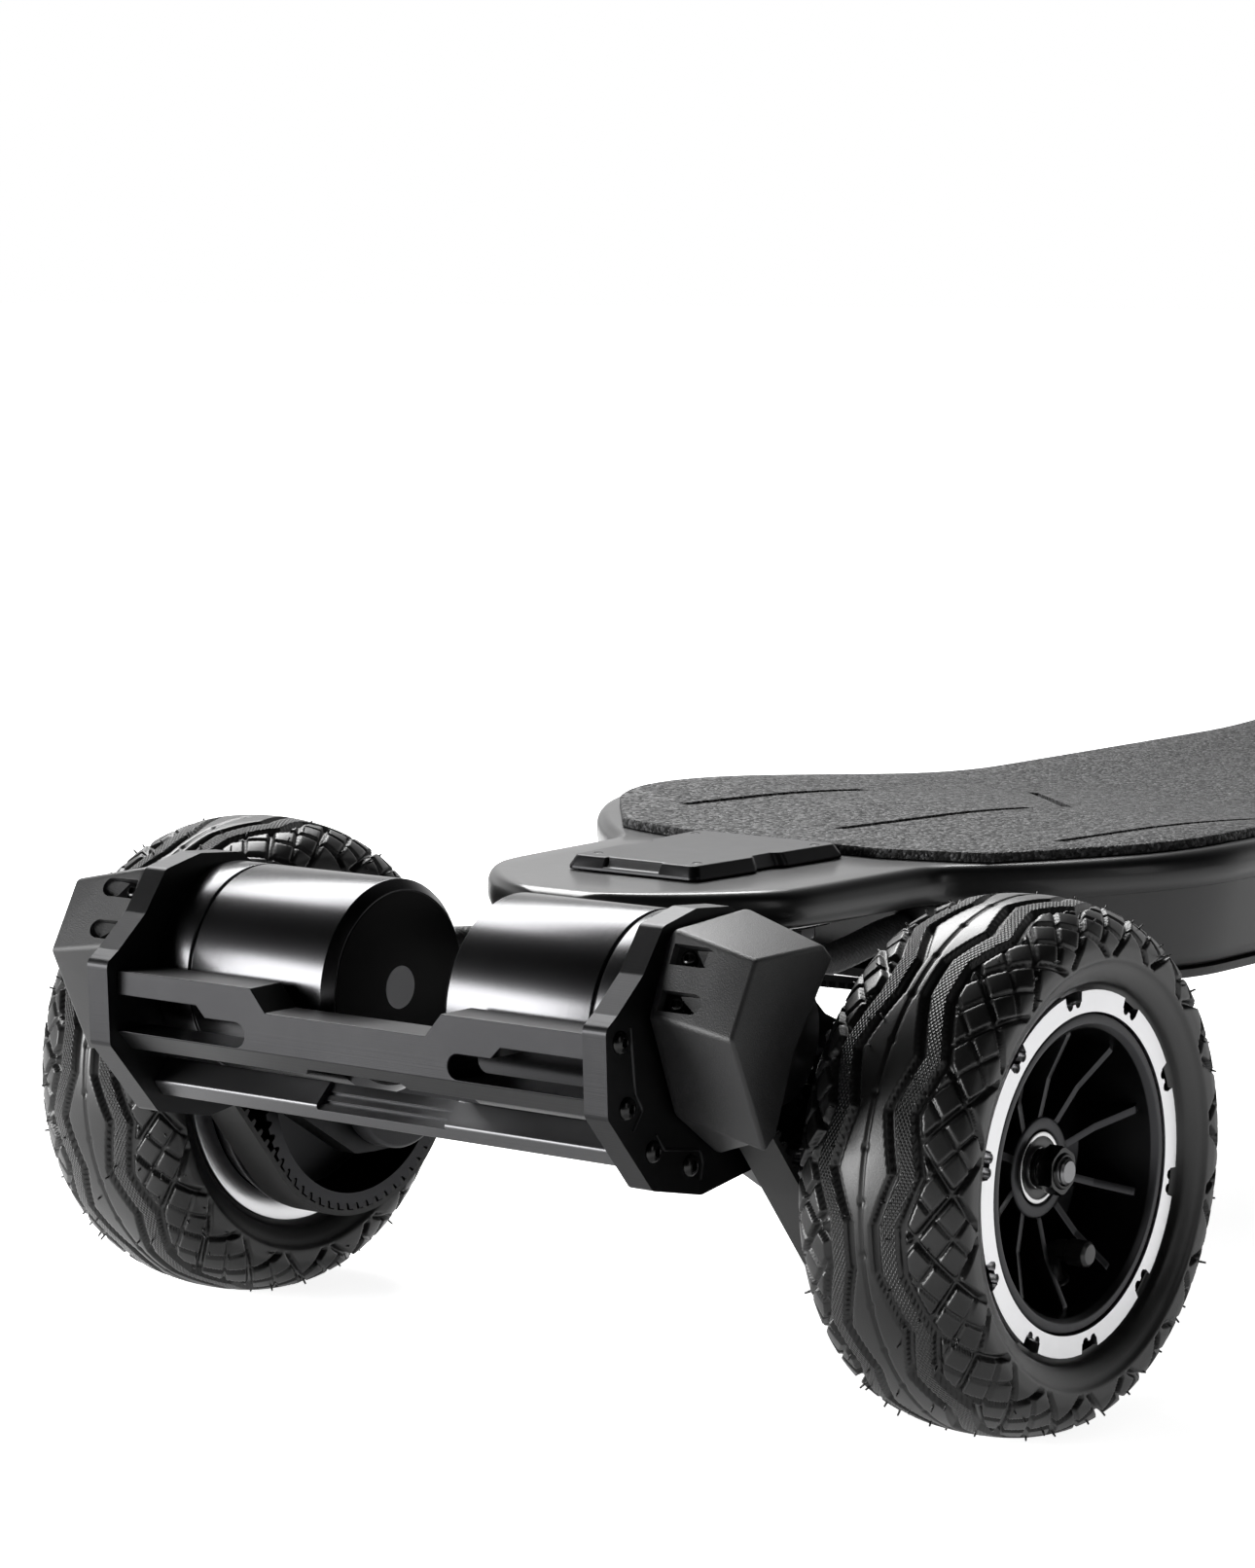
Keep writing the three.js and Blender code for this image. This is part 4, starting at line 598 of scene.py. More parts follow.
def handling_group():
    """Slow changes of colour and gloss."""
    tree, given, out = start_group(
        "handling",
        [
            ("Vector", "Vector", None),
            ("Color", "Color", (0.5, 0.5, 0.5, 1)),
            ("Dust Color", "Color", (0.2, 0.2, 0.2, 1)),
            ("Dust", "Float", 0.1),
            ("Gloss", "Float", 0.4),
            ("Gloss Change", "Float", 0.1),
            ("Patch Size mm", "Float", 40.0),
        ],
        [("Color", "Color"), ("Roughness", "Float")],
    )
    scale = math(tree, "DIVIDE", 1000.0, given["Patch Size mm"])
    broad = noise_at(tree, given["Vector"], scale, 5.0, 0.65)
    share = math(tree, "MULTIPLY", ranged(tree, broad, 0.42, 0.75), given["Dust"])
    tree.links.new(mix(tree, share, given["Color"], given["Dust Color"]), out["Color"])
    change = math(tree, "MULTIPLY", math(tree, "SUBTRACT", broad, 0.5), given["Gloss Change"])
    tree.links.new(math(tree, "ADD", given["Gloss"], change, clamp=True), out["Roughness"])
    return tree


def tool_line_group():
    """Fine lines across a direction: the position along it is stretched into narrow noise."""
    tree, given, out = start_group(
        "tool_lines",
        [("Position mm", "Float", 0.0), ("Along", "Vector", None), ("Line Width mm", "Float", 0.3)],
        [("Height", "Float"), ("Tone", "Float")],
    )
    steps = math(tree, "DIVIDE", given["Position mm"], given["Line Width mm"])
    drift = add(tree, "VectorMath", {0: given["Along"], "Scale": 25.0}, operation="SCALE")
    split = add(tree, "SeparateXYZ", {0: drift.outputs[0]}).outputs
    vector = add(tree, "CombineXYZ", {0: steps, 1: split[1], 2: split[2]}).outputs[0]
    noise = noise_at(tree, vector, 1.0, 2.0, 0.6)
    tree.links.new(noise, out["Height"])
    tree.links.new(ranged(tree, noise, 0.25, 0.75), out["Tone"])
    return tree


FINE_GRAIN = grain_group()
HANDLING = handling_group()
TOOL_LINES = tool_line_group()
print("groups:", FINE_GRAIN.name, HANDLING.name, TOOL_LINES.name)

# %% [markdown]
# Most finishes share one build-up: a base colour that handling changes a little, a grain
# or tool lines as a small bump, and a gloss that varies round one value.
# A recipe function takes the values that differ, and single finishes add what is theirs.

# %% Recipe for a finish


def recipe(
    name,
    colour,
    gloss,
    metal=0.0,
    grain=0.4,
    bump=0.05,
    dust=0.06,
    gloss_change=0.12,
    coat=0.0,
    lines=None,
    mirror=0.5,
):
    """A finish with handling marks and a grain. Lines says how tool lines run: x, y, z or round."""
    material = bpy.data.materials.new(name)
    material.use_nodes = True
    tree = material.node_tree
    shader = tree.nodes["Principled BSDF"]
    shader.inputs["Metallic"].default_value = metal
    shader.inputs["Specular IOR Level"].default_value = mirror
    shader.inputs["Coat Weight"].default_value = coat
    shader.inputs["Coat Roughness"].default_value = 0.12
    where = add(tree, "TexCoord").outputs["Object"]
    dust_colour = [min(1, 0.5 * c + 0.1) for c in colour]
    hands = use_group(
        tree,
        HANDLING,
        {
            "Vector": where,
            "Color": (*colour, 1),
            "Dust Color": (*dust_colour, 1),
            "Dust": dust,
            "Gloss": gloss,
            "Gloss Change": gloss_change,
        },
    )
    tree.links.new(hands["Color"], shader.inputs["Base Color"])
    tree.links.new(hands["Roughness"], shader.inputs["Roughness"])
    if lines:
        xyz = add(tree, "SeparateXYZ", {0: where}).outputs
        if lines == "round":
            squares = math(tree, "ADD", math(tree, "POWER", xyz[1], 2.0), math(tree, "POWER", xyz[2], 2.0))
            position = math(tree, "ADD", math(tree, "SQRT", squares), xyz[0])
        else:
            position = xyz["xyz".index(lines)]
        marks = use_group(
            tree,
            TOOL_LINES,
            {"Position mm": math(tree, "DIVIDE", position, MM), "Along": where, "Line Width mm": grain},
        )
    else:
        marks = use_group(tree, FINE_GRAIN, {"Vector": where, "Grain Size mm": grain})
    relief = add(tree, "Bump", {"Height": marks["Height"], "Strength": bump, "Distance": 0.2 * MM})
    tree.links.new(relief.outputs[0], shader.inputs["Normal"])
    return material


DECK_LACQUER = recipe(
    "deck_lacquer", (0.004, 0.004, 0.0045), 0.36, grain=3.0, bump=0.04, dust=0.04, coat=0.2
)
HULL_SHELL = recipe("hull_shell", (0.008, 0.008, 0.0085), 0.42, grain=0.5, bump=0.12, dust=0.06)
COVER_PLASTIC = recipe("moulded_cover", (0.009, 0.009, 0.0095), 0.46, grain=0.45, bump=0.5, dust=0.08)
ANODISED = recipe("black_anodised", (0.035, 0.035, 0.037), 0.33, metal=1.0, grain=0.25, bump=0.1, dust=0.03)
PLATE_ANODISED = recipe(
    "milled_anodised", (0.026, 0.026, 0.027), 0.4, metal=1.0, grain=0.3, bump=0.14, lines="z"
)
CAN_ANODISED = recipe(
    "turned_anodised",
    (0.055, 0.055, 0.057),
    0.25,
    metal=1.0,
    grain=0.3,
    bump=0.05,
    lines="x",
    gloss_change=0.04,
)
GUARD_ANODISED = recipe(
    "guard_anodised", (0.024, 0.024, 0.025), 0.4, metal=1.0, grain=0.3, bump=0.1, lines="z"
)
BRACE_METAL = recipe(
    "satin_grey_metal", (0.1, 0.1, 0.103), 0.4, metal=1.0, grain=0.3, bump=0.12, lines="x"
)
MACHINED = recipe(
    "machined_aluminium",
    (0.72, 0.72, 0.73),
    0.3,
    metal=1.0,
    grain=0.18,
    bump=0.1,
    dust=0.02,
    lines="round",
)
FORGED = recipe("forged_black", (0.03, 0.03, 0.032), 0.5, metal=0.7, grain=0.8, bump=0.3)
SCREW_BLACK = recipe("black_oxide", (0.03, 0.03, 0.03), 0.22, metal=1.0, grain=0.4, bump=0.05)
STEEL = recipe("bearing_steel", (0.6, 0.6, 0.6), 0.2, metal=1.0, grain=0.3, bump=0.04, dust=0.02)
ZINC = recipe("zinc_plated", (0.2, 0.2, 0.205), 0.32, metal=1.0, grain=0.5, bump=0.08)
BELT_RUBBER = recipe("belt_rubber", (0.01, 0.01, 0.01), 0.6, grain=0.5, bump=0.25)
BUSHING = recipe("cast_urethane", (0.02, 0.021, 0.023), 0.45, grain=1.2, bump=0.1)
PRINT_BLACK = recipe(
    "black_print", (0.002, 0.002, 0.0022), 0.45, grain=0.6, bump=0.03, dust=0.01, mirror=0.1
)
PRINT_GREY = recipe("grey_print", (0.3, 0.3, 0.31), 0.5, grain=0.8, bump=0.05)
SHIELD = recipe("rubber_seal", (0.008, 0.008, 0.008), 0.3, grain=0.8, bump=0.05)
SLEEVE = recipe("braided_sleeve", (0.02, 0.02, 0.021), 0.55, grain=0.25, bump=0.5, dust=0.15)
PACK_WRAP = recipe("heat_shrink", (0.026, 0.114, 0.32), 0.35, grain=6.0, bump=0.3)
print(len(bpy.data.materials), "finishes so far")

# %% [markdown]

# %% [markdown]
# Two motor cables in a braided sleeve run from the motors into the hull. A braid is two sets
# of flat strands that wind opposite ways and pass over and under each other.
# Here the tube's radius follows that weave, so the sleeve has real relief from any side.

# %% Motor cables
MOTOR_Y, MOTOR_Z = -75.6, 45.24
MOTOR_RADIUS = 33
HULL_END, HULL_FULL = 92, 106
CABLE_RADIUS = 5
CABLE_HULL_X, CABLE_MOTOR_X = 48, 66
CABLE_Z = 49
CAN_SURFACE = sqrt(MOTOR_RADIUS**2 - (CABLE_Z - MOTOR_Z) ** 2)
CABLE_START, CABLE_END = MOTOR_Y + CAN_SURFACE + 3.3, HULL_END + 10
STRANDS = 8
WEAVE_DEPTH = 0.3
WEAVE_LEAN = 1.15


def braid(path, radius, sides=64):
    """Ring sizes for a braided sleeve along a path."""
    steps = len(path)
    length = np.linalg.norm(np.diff(path, axis=0), axis=1).sum()
    turns = np.linspace(0, 2 * pi, sides, endpoint=False)[None, :]
    run = np.linspace(0, length, steps)[:, None] / (WEAVE_LEAN * radius)
    one = np.sin((turns + run) * STRANDS)
    other = np.sin((turns - run) * STRANDS)
    over = np.sin((turns + run) * STRANDS / 2) * np.sin((turns - run) * STRANDS / 2) > 0
    relief = np.where(over, np.abs(one), np.abs(other))
    return radius - WEAVE_DEPTH + WEAVE_DEPTH * relief


for side in SIDES:
    sign = 1 if side == "right" else -1
    knots = [
        (CABLE_MOTOR_X, CABLE_START, CABLE_Z),
        (CABLE_MOTOR_X, CABLE_START + 14, CABLE_Z),
        (60, 4, CABLE_Z - 3),
        (52, 54, CABLE_Z - 3),
        (CABLE_HULL_X, CABLE_END - 14, CABLE_Z),
        (CABLE_HULL_X, CABLE_END, CABLE_Z),
    ]
    route = smooth_path([(sign * x, y, z) for x, y, z in knots], 420)
    tube = pipe(route, braid(route, CABLE_RADIUS), 64)
    here, node = truck_place["rear"], f"motor_cable_{side}"
    sleeve = build(f"{side}_motor_cable_sleeve", tube, SLEEVE, None, here, [node])
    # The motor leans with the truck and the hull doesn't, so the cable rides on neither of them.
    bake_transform(sleeve)

# %% [markdown]
# The deck is one stiff board: narrow tail, waist behind the wheels, then wide shoulders for
# the feet. Its half width is a straight taper that a round nose ends, plus an eased flare and
# a swell at the shoulders, so the whole outline comes from a handful of sizes.
# A skin over about a hundred cross-sections gives it clean long curves.

# %% Deck form
DECK_TOP = 71.5
PLANK = 13
OVERHANG = 28
NOSE, NOSE_TIP, NOSE_EASE = 44, 0.5, 0.1
TAIL_HALF, WAIST_HALF, DECK_HALF = 61, 65, 119
WAIST_REACH, FLARE, FLARE_EASE = 90, 88, 0.02
SWELL, SHOULDER_REACH, SHOULDER_END = 8, 185, 270
EDGE_RADIUS = 4
PLANK_EDGE = 5.5
ROCKER, ROCKER_START, ROCKER_END = 13, 180, 400
CONCAVE, CONCAVE_START, CONCAVE_END = 2.5, 90, 180
HULL_DEPTH = 24.5


def step(value, low, high):
    """A smooth change from 0 to 1."""
    t = max(0, min(1, (value - low) / (high - low)))
    return t * t * (3 - 2 * t)


def reach_at(along):
    """Distance from the nearer axle towards the middle of the board."""
    return wheelbase / 2 - abs(along)


def deck_half(reach):
    """Half the deck's width."""
    share = (min(reach, WAIST_REACH) + OVERHANG) / (WAIST_REACH + OVERHANG)
    straight = TAIL_HALF + (WAIST_HALF - TAIL_HALF) * share
    along = (reach - WAIST_REACH) / FLARE
    eased = min(along / 2 + hypot(along / 2, FLARE_EASE), 1)
    flare = (DECK_HALF - WAIST_HALF) * (1 - (1 - eased) ** 2)
    swell = SWELL * step(reach, WAIST_REACH, SHOULDER_REACH)
    swell *= 1 - step(reach, SHOULDER_REACH, SHOULDER_END)
    rounding = sqrt((reach + OVERHANG + NOSE_TIP) / (NOSE + NOSE_TIP))
    nose = min((rounding + 1 - hypot(rounding - 1, NOSE_EASE)) / 2, 1)
    return straight * nose + flare + swell


def dip(reach):
    return ROCKER * step(reach, ROCKER_START, ROCKER_END)


def concave(reach):
    return CONCAVE * step(reach, CONCAVE_START, CONCAVE_END)


def top_at(along, x):
    """Height of the deck's top face over the axle line."""
    reach = reach_at(along)
    flat = deck_half(reach) / 2
    share = (abs(x) - flat) / (deck_half(reach) - EDGE_RADIUS - flat)
    return DECK_TOP - dip(reach) + concave(reach) * max(0, min(1, share))


def stations(first):
    """Places of the cross-sections, close together where the outline bends."""
    ends = [-OVERHANG + NOSE * (k / 24) ** 2 for k in range(25)]
    reaches = [*ends, *range(18, 80, 4), *np.arange(84, 280, 3.5), *range(286, 470, 12)]
    kept = [first, *[float(r) for r in reaches if r > first + 0.05]]
    near = [reach - wheelbase / 2 for reach in kept]
    return near + [-along for along in reversed(near)]


def both_sides(right):
    """A loop from its right-hand half."""
    return right + [(-x, y, z) for x, y, z in reversed(right)]


def arc(x, z, radius, start, stop, steps=5):
    """Points on an arc in a cross-section, with angles in degrees from the right, going up."""
    turns = [radians(start + (stop - start) * k / steps) for k in range(steps + 1)]
    return [(x + radius * cos(t), z + radius * sin(t)) for t in turns]


print("deck width", 2 * DECK_HALF, "mm, tail", 2 * TAIL_HALF, "mm")

# %% [markdown]
# The plank is a skin over its cross-sections, and the hull below it another. Two bays for the
# cells and the controller are cut up into both of them from below.

# %% Plank and hull
bay = {"half": 88, "end": 170, "roof": 7, "controller": 120, "divider": 8}
bay_start = bay["end"] - wheelbase / 2
bay_ceiling = DECK_TOP - ROCKER - bay["roof"]
bay_split = bay_start + bay["controller"]
BAY_FLOOR = 0
bays = [
    slab(rectangle(-bay["half"], bay["half"], a, b), BAY_FLOOR, bay_ceiling, "z")
    for a, b in ((bay_start, bay_split), (bay_split + bay["divider"], -bay_start))
]


def plank_loop(along):
    reach = reach_at(along)
    half = deck_half(reach)
    missing = max(PLANK_EDGE - reach - OVERHANG, 0)
    inset = PLANK_EDGE - sqrt(PLANK_EDGE**2 - missing**2)
    radius = max(PLANK_EDGE - inset, 0.4)
    top = DECK_TOP - dip(reach) - inset
    bottom = DECK_TOP - PLANK - dip(reach) + inset
    lift = concave(reach)
    section = [(0, top), (half * 0.25, top), (half * 0.5, top)]
    section += [(half * 0.5 + (half * 0.5 - radius) * s, top + lift * s) for s in (0.34, 0.67)]
    section += arc(half - radius, top + lift - radius, radius, 90, 0)
    section += arc(half - radius, bottom + lift + radius, radius, 0, -90)
    section += [(half * 0.5, bottom), (0.01, bottom)]
    return both_sides([(max(x, 0.01), along, z) for x, z in section])


def hull_loop(along):
    reach = reach_at(along)
    share = max(0, min(1, (reach - HULL_END) / (HULL_FULL - HULL_END)))
    depth = 1 + (HULL_DEPTH - 1) * share
    radius = min(6, depth * 0.4)
    top_half = deck_half(reach) - 2
    bottom_half = top_half - 4 * share
    level = DECK_TOP - PLANK - dip(reach)
    lift = concave(reach)
    section = [(0.01, level + 1), (top_half - 12, level + lift + 1), (top_half, level + lift + 2)]
    section += arc(bottom_half - radius, level - depth + radius, radius, -4, -90)
    section += [(bottom_half / 2, level - depth), (0.01, level - depth)]
    return both_sides([(x, along, z) for x, z in section])


plank = boolean("DIFFERENCE", loft([plank_loop(along) for along in stations(-OVERHANG)]), *bays)
build("deck_plank", plank, DECK_LACQUER, "board", deck_place, ["deck"])
print("plank", len(plank[0]), "points")

# %% [markdown]
# The hull under the deck holds the battery and the speed controller. On its left side a round
# pocket takes the power button, and a taller pocket takes the charge port with its cap.
# At the tail two sockets take the motor cables. All of them are cut out of the lofted hull.

# %% Hull with its pockets
BUTTON_PLACE, PORT_PLACE = wheelbase / 2 - 240, wheelbase / 2 - 280
CONTROL_INSET = 10.5


def control_height(along):
    return DECK_TOP - dip(reach_at(along)) - 25


def control_floor(along):
    return CONTROL_INSET - deck_half(reach_at(along))


button_z, button_x = control_height(BUTTON_PLACE), control_floor(BUTTON_PLACE)
port_z, port_x = control_height(PORT_PLACE), control_floor(PORT_PLACE)
pocket = rectangle(PORT_PLACE - 13, PORT_PLACE + 13, port_z - 10, port_z + 11.5)
button_pocket = circle(10, 48, BUTTON_PLACE, button_z)
socket_end = HULL_END - wheelbase / 2 + 11
cable_sockets = [
    slab(circle(CABLE_RADIUS + 0.3, 32, x, CABLE_Z), socket_end - 30, socket_end, "y")
    for x in (-CABLE_HULL_X, CABLE_HULL_X)
]
hull = boolean(
    "DIFFERENCE",
    loft([hull_loop(along) for along in stations(HULL_END)]),
    slab(rounded(pocket, 4, 5), -140, port_x, "x"),
    slab(button_pocket, -140, button_x, "x"),
    slab(circle(6.8, 32, BUTTON_PLACE, button_z), button_x - 1, button_x + 6.8, "x"),
    slab(circle(6.8, 32, PORT_PLACE, port_z), port_x - 1, port_x + 7.3, "x"),
    *cable_sockets,
    *bays,
)
build("battery_hull", hull, HULL_SHELL, "board", deck_place, ["deck"])
print("hull", len(hull[0]), "points")

# %% [markdown]
# A thin plastic plate closes the bays from below. It follows the hull's curve a little inside
# its edge, and overhangs the hull's slanted end as a small lip.

# %% Cover under the hull


def cover_loop(along):
    reach = reach_at(along)
    half = deck_half(reach) - 8
    top = DECK_TOP - PLANK - dip(reach) - HULL_DEPTH - 0.3
    section = [(0.01, top), (half, top), *arc(half - 1, top - 2, 1, 0, -90, 4), (0.01, top - 3)]
    return both_sides([(x, along, z) for x, z in section])


cover = loft([cover_loop(along) for along in stations(HULL_FULL - 8)])
build("battery_cover_plate", cover, COVER_PLASTIC, "board", deck_place, ["battery_cover"])

# %% [markdown]
# The grip pad is a thick foam sheet faced with coarse black grit, cut by narrow lines near
# the feet. The cut lines are real grooves, so that they catch shade in any light.
# The grit is too fine for geometry: cells of a Voronoi texture tilt the surface at random,
# and a few of them get a lighter base colour, a painted glint that stands in for the sparkle of broken
# mineral.

# %% Grip pad
PAD = 3
PAD_INSET = 9
PAD_EDGE = 0.9
PAD_END, PAD_CORNER, PAD_SHOULDER = 94, 104, 145
PAD_END_HALF, PAD_CORNER_HALF = 40, 74
CUT_WIDTH, CUT_DEPTH, CUT_LEAN = 4.2, 2, 0.15
CUT_SIDE = PAD_CORNER_HALF + PAD_INSET / 2
CUTS = [
    # distance from the axle at both ends of a cut, and its distance from the centreline at the start
    (145, 237, -CUT_SIDE),
    (127, 225, 0),
    (140.5, 245, CUT_SIDE),
]
CROSS_CUT = (241, 20, 313, -40)
# The second grit colour is a painted glint, mixed into a few cells to stand in for sparkle.
GRIT_DARK, GRIT_PAINTED_GLINT = (0.004, 0.004, 0.0043, 1), (0.075, 0.075, 0.078, 1)
GRAINS_PER_METRE = 820.0


def grip_finish():
    """Black grit, with a lighter base colour in a few cells as a painted glint."""
    material = bpy.data.materials.new("grip_grit")
    material.use_nodes = True
    tree = material.node_tree
    shader = tree.nodes["Principled BSDF"]
    where = add(tree, "TexCoord").outputs["Object"]
    cells = add(tree, "TexVoronoi", {"Vector": where, "Scale": GRAINS_PER_METRE, "Randomness": 1.0})
    tint = add(tree, "SeparateColor", {0: cells.outputs["Color"]}).outputs
    bright = ranged(tree, tint[0], 0.5, 1.0)
    broad = use_group(tree, FINE_GRAIN, {"Vector": where, "Grain Size mm": 14.0})["Tone"]
    share = math(tree, "MULTIPLY", math(tree, "POWER", bright, 2.0), math(tree, "ADD", broad, 0.5))
    # Painted glint: random cells are mixed towards a lighter grey that stands in for the grit's sparkle.
    tree.links.new(mix(tree, share, GRIT_DARK, GRIT_PAINTED_GLINT), shader.inputs["Base Color"])
    tree.links.new(ranged(tree, tint[1], 0.0, 1.0, 0.45, 1.0), shader.inputs["Roughness"])
    height = math(tree, "MULTIPLY", cells.outputs["Distance"], -1.0)
    relief = add(tree, "Bump", {"Height": height, "Strength": 0.9, "Distance": 0.5 * MM})
    tree.links.new(relief.outputs[0], shader.inputs["Normal"])
    return material


def pad_half(reach):
    """Half the pad's width: a straight end, slanted corners, then a line along the deck's edge."""
    if reach >= PAD_SHOULDER:
        return deck_half(reach) - PAD_INSET
    if reach <= PAD_CORNER:
        share = max(0, (reach - PAD_END) / (PAD_CORNER - PAD_END))
        return PAD_END_HALF + (PAD_CORNER_HALF - PAD_END_HALF) * share
    share = (reach - PAD_CORNER) / (PAD_SHOULDER - PAD_CORNER)
    return PAD_CORNER_HALF + (deck_half(PAD_SHOULDER) - PAD_INSET - PAD_CORNER_HALF) * share


def pad_loop(along):
    reach = reach_at(along)
    half = pad_half(reach)
    crease = deck_half(reach) / 2
    foot = [(x, top_at(along, x) + 0.3) for x in (0.01, crease, (crease + half) / 2, half)]
    if half < crease:
        foot = [(x, top_at(along, x) + 0.3) for x in (0.01, half / 3, half / 2, half)]
    top = [(x, z + PAD) for x, z in foot[:3]]
    edge = arc(half - PAD_EDGE, foot[-1][1] + PAD - PAD_EDGE, PAD_EDGE, 90, 0, 3)
    return both_sides([(x, along, z) for x, z in top + edge + list(reversed(foot))])


def cut_line(from_along, from_x, to_along, to_x):
    """The blade's path through the pad's top, following the deck's curve."""
    rows = []
    for k in range(9):
        along = from_along + (to_along - from_along) * k / 8
        x = from_x + (to_x - from_x) * k / 8
        left, right = x - CUT_WIDTH / 2, x + CUT_WIDTH / 2
        base = max(top_at(along, left), top_at(along, right)) + 0.3 + PAD
        blade = [(left - 0.5, 1), (right + 0.5, 1), (right, -CUT_DEPTH), (left, -CUT_DEPTH)]
        rows.append([(across, along, base + up) for across, up in blade])
    return loft(rows)


cutters = []
lines = [(start, x, stop, x + CUT_LEAN * (stop - start)) for start, stop, x in CUTS]
for from_reach, from_x, to_reach, to_x in [*lines, CROSS_CUT]:
    a, b = from_reach - wheelbase / 2, to_reach - wheelbase / 2
    cutters.append(cut_line(a, from_x, b, to_x))
    cutters.append(cut_line(-b, -to_x, -a, -from_x))
GRIP = grip_finish()
pad = boolean("DIFFERENCE", loft([pad_loop(along) for along in stations(PAD_END)]), *cutters)
build("grip_sheet", pad, GRIP, "board", deck_place, ["grip_pad"])
print("grip pad", len(pad[0]), "points,", len(cutters), "cut lines")

# %% [markdown]
# A button-head screw is a low dome with a hexagonal socket. Its rings of points change from
# round to six-sided, which a single polar formula gives, so no Boolean is needed.

# %% Screws and nuts


def six_sided(turn, flats):
    """Distance from the middle to the side of a hexagon, at an angle."""
    return flats / 2 / cos((turn + pi / 6) % (pi / 3) - pi / 6)


def screw_head(radius=4.0, height=2.2, flats=2.6, points=36):
    """A button head along +x, standing on x = 0."""
    turns = [2 * pi * i / points for i in range(points)]
    loops = [[(-1.0, radius * cos(t), radius * sin(t)) for t in turns]]
    for k in range(7):
        angle = radians(12 * k)
        x, r = height * sin(angle) / sin(radians(72)), radius * cos(angle) ** 0.8
        loops.append([(x, r * cos(t), r * sin(t)) for t in turns])
    for x, grow in ((height, 1.12), (height - 0.25, 1.0), (height - 1.5, 1.0)):
        sizes = [grow * six_sided(t, flats) for t in turns]
        loops.append([(x, r * cos(t), r * sin(t)) for t, r in zip(turns, sizes)])
    return loft(loops)


def hexagon(low, high, flats, points=60):
    """A nut's body along x, with both ends chamfered round."""
    turns = [2 * pi * i / points for i in range(points)]
    loops = []
    for k in range(13):
        x = low + (high - low) * k / 12
        cone = flats * 0.535 + 2.2 * min(x - low, high - x)
        sizes = [min(six_sided(t, flats), cone) for t in turns]
        loops.append([(x, r * cos(t), r * sin(t)) for t, r in zip(turns, sizes)])
    return loft(loops)


def aimed(shape, spot, normal):
    """A shape drawn along +x, moved to a spot and turned along a direction."""
    turn = Vector((1, 0, 0)).rotation_difference(Vector(normal)).to_matrix().to_4x4()
    return changed(shape, Matrix.Translation(spot) @ turn)


# %% [markdown]
# Over the truck bolts the deck carries a milled plate with bevelled edges, a thumb notch on
# each side and a scoop in the rear bevel. Four screws hold it down at its corners.

# %% Top plates
PLATE_START, PLATE_END = 11.5, 87.7
PLATE_NARROW, PLATE_WIDE = 25.7, 30.1
PLATE_HIGH = 4.6
SCOOP_HALF = 11


def top_plate():
    middle = (PLATE_START + PLATE_END) / 2
    notch = (PLATE_NARROW + PLATE_WIDE) / 2 - 2.5
    right = [
        (0, PLATE_START),
        (PLATE_NARROW, PLATE_START),
        (notch + 2.5, middle - 8),
        (notch, middle - 5.5),
        (notch, middle + 5.5),
        (notch + 2.5, middle + 8),
        (PLATE_WIDE, PLATE_END),
        (0, PLATE_END),
    ]
    outline = right[1:-1] + [(-x, y) for x, y in reversed(right[1:-1])]
    low = DECK_TOP + 0.3
    levels = ((low, 0), (low + 1.2, 0), (low + PLATE_HIGH, 1.9))
    loops = []
    for z, inset in levels:
        outer = rounded(outline, 3, 5)
        shrink_x = 1 - inset / PLATE_WIDE
        shrink_y = 1 - 2 * inset / (PLATE_END - PLATE_START)
        loops.append([(x * shrink_x, middle + (y - middle) * shrink_y, z) for x, y in outer])
    scoop = [(-2, 1.6), (1, 1.6), (5, 6), (-2, 6)]
    scoop = [(PLATE_START + y, low + z) for y, z in scoop]
    return boolean("DIFFERENCE", loft(loops), slab(scoop, -SCOOP_HALF, SCOOP_HALF, "x"))


top_plate_shape = top_plate()
corners = ((PLATE_NARROW - 6, PLATE_START + 9), (PLATE_WIDE - 6, PLATE_END - 9))
seat = DECK_TOP + 0.3 + PLATE_HIGH - 1.4
corner_spots = [(side * x, y, seat) for side in (-1, 1) for x, y in corners]
corner_screws = joined(*[aimed(screw_head(3.6, 1.5, 2.4), spot, (0, 0, 1)) for spot in corner_spots])
for end in ENDS:
    here, node = truck_place[end], f"{end}_top_plate"
    build(f"{end}_truck_cap", top_plate_shape, PLATE_ANODISED, "board", here, [node], 0.5)
    build(f"{end}_cap_screws", corner_screws, SCREW_BLACK, "board", here)
print("top plates with", len(corner_spots), "screws each")

# %% [markdown]
# Charge port, cap and power button sit in the hull's left side. The button is a turned
# aluminium cap with a fine ring. The port's rubber cap swings up on a hinge over the pocket.

# %% Controls on the left side
QUARTER_TURN = Matrix.Rotation(pi / 2, 4, "Z")


def controls():
    cap = [(0, 0), (0, 4.1), (0.5, 4.3), (0, 4.6), (0, 6.5), (8, 6.5), (8, 0)]
    button = shifted(spun(cap, 0.4, 2, 64), button_x - 3)
    socket = [(0, 6.5), (0, 4), (3.5, 4), (3.5, 1.4), (-0.2, 1.2), (-0.2, 0)]
    body = [(0, 6.5), (7, 6.5), (7, 0)]
    port = shifted(joined(turned(socket, 48, False), turned(body, 48, False)), port_x)
    near, far = port_x - 0.4, port_x - 2.8
    disc = rod(8.5, far, near, 0.7, 48)
    tab = slab(rounded(rectangle(-4, 4, 5.5, 10), 1, 3), far, near, "x")
    pin = changed(rod(1.1, -6, 6, 0.2, 20), Matrix.Translation((port_x - 1.6, 0, 9)) @ QUARTER_TURN)
    return button, port, joined(boolean("UNION", disc, tab), pin)


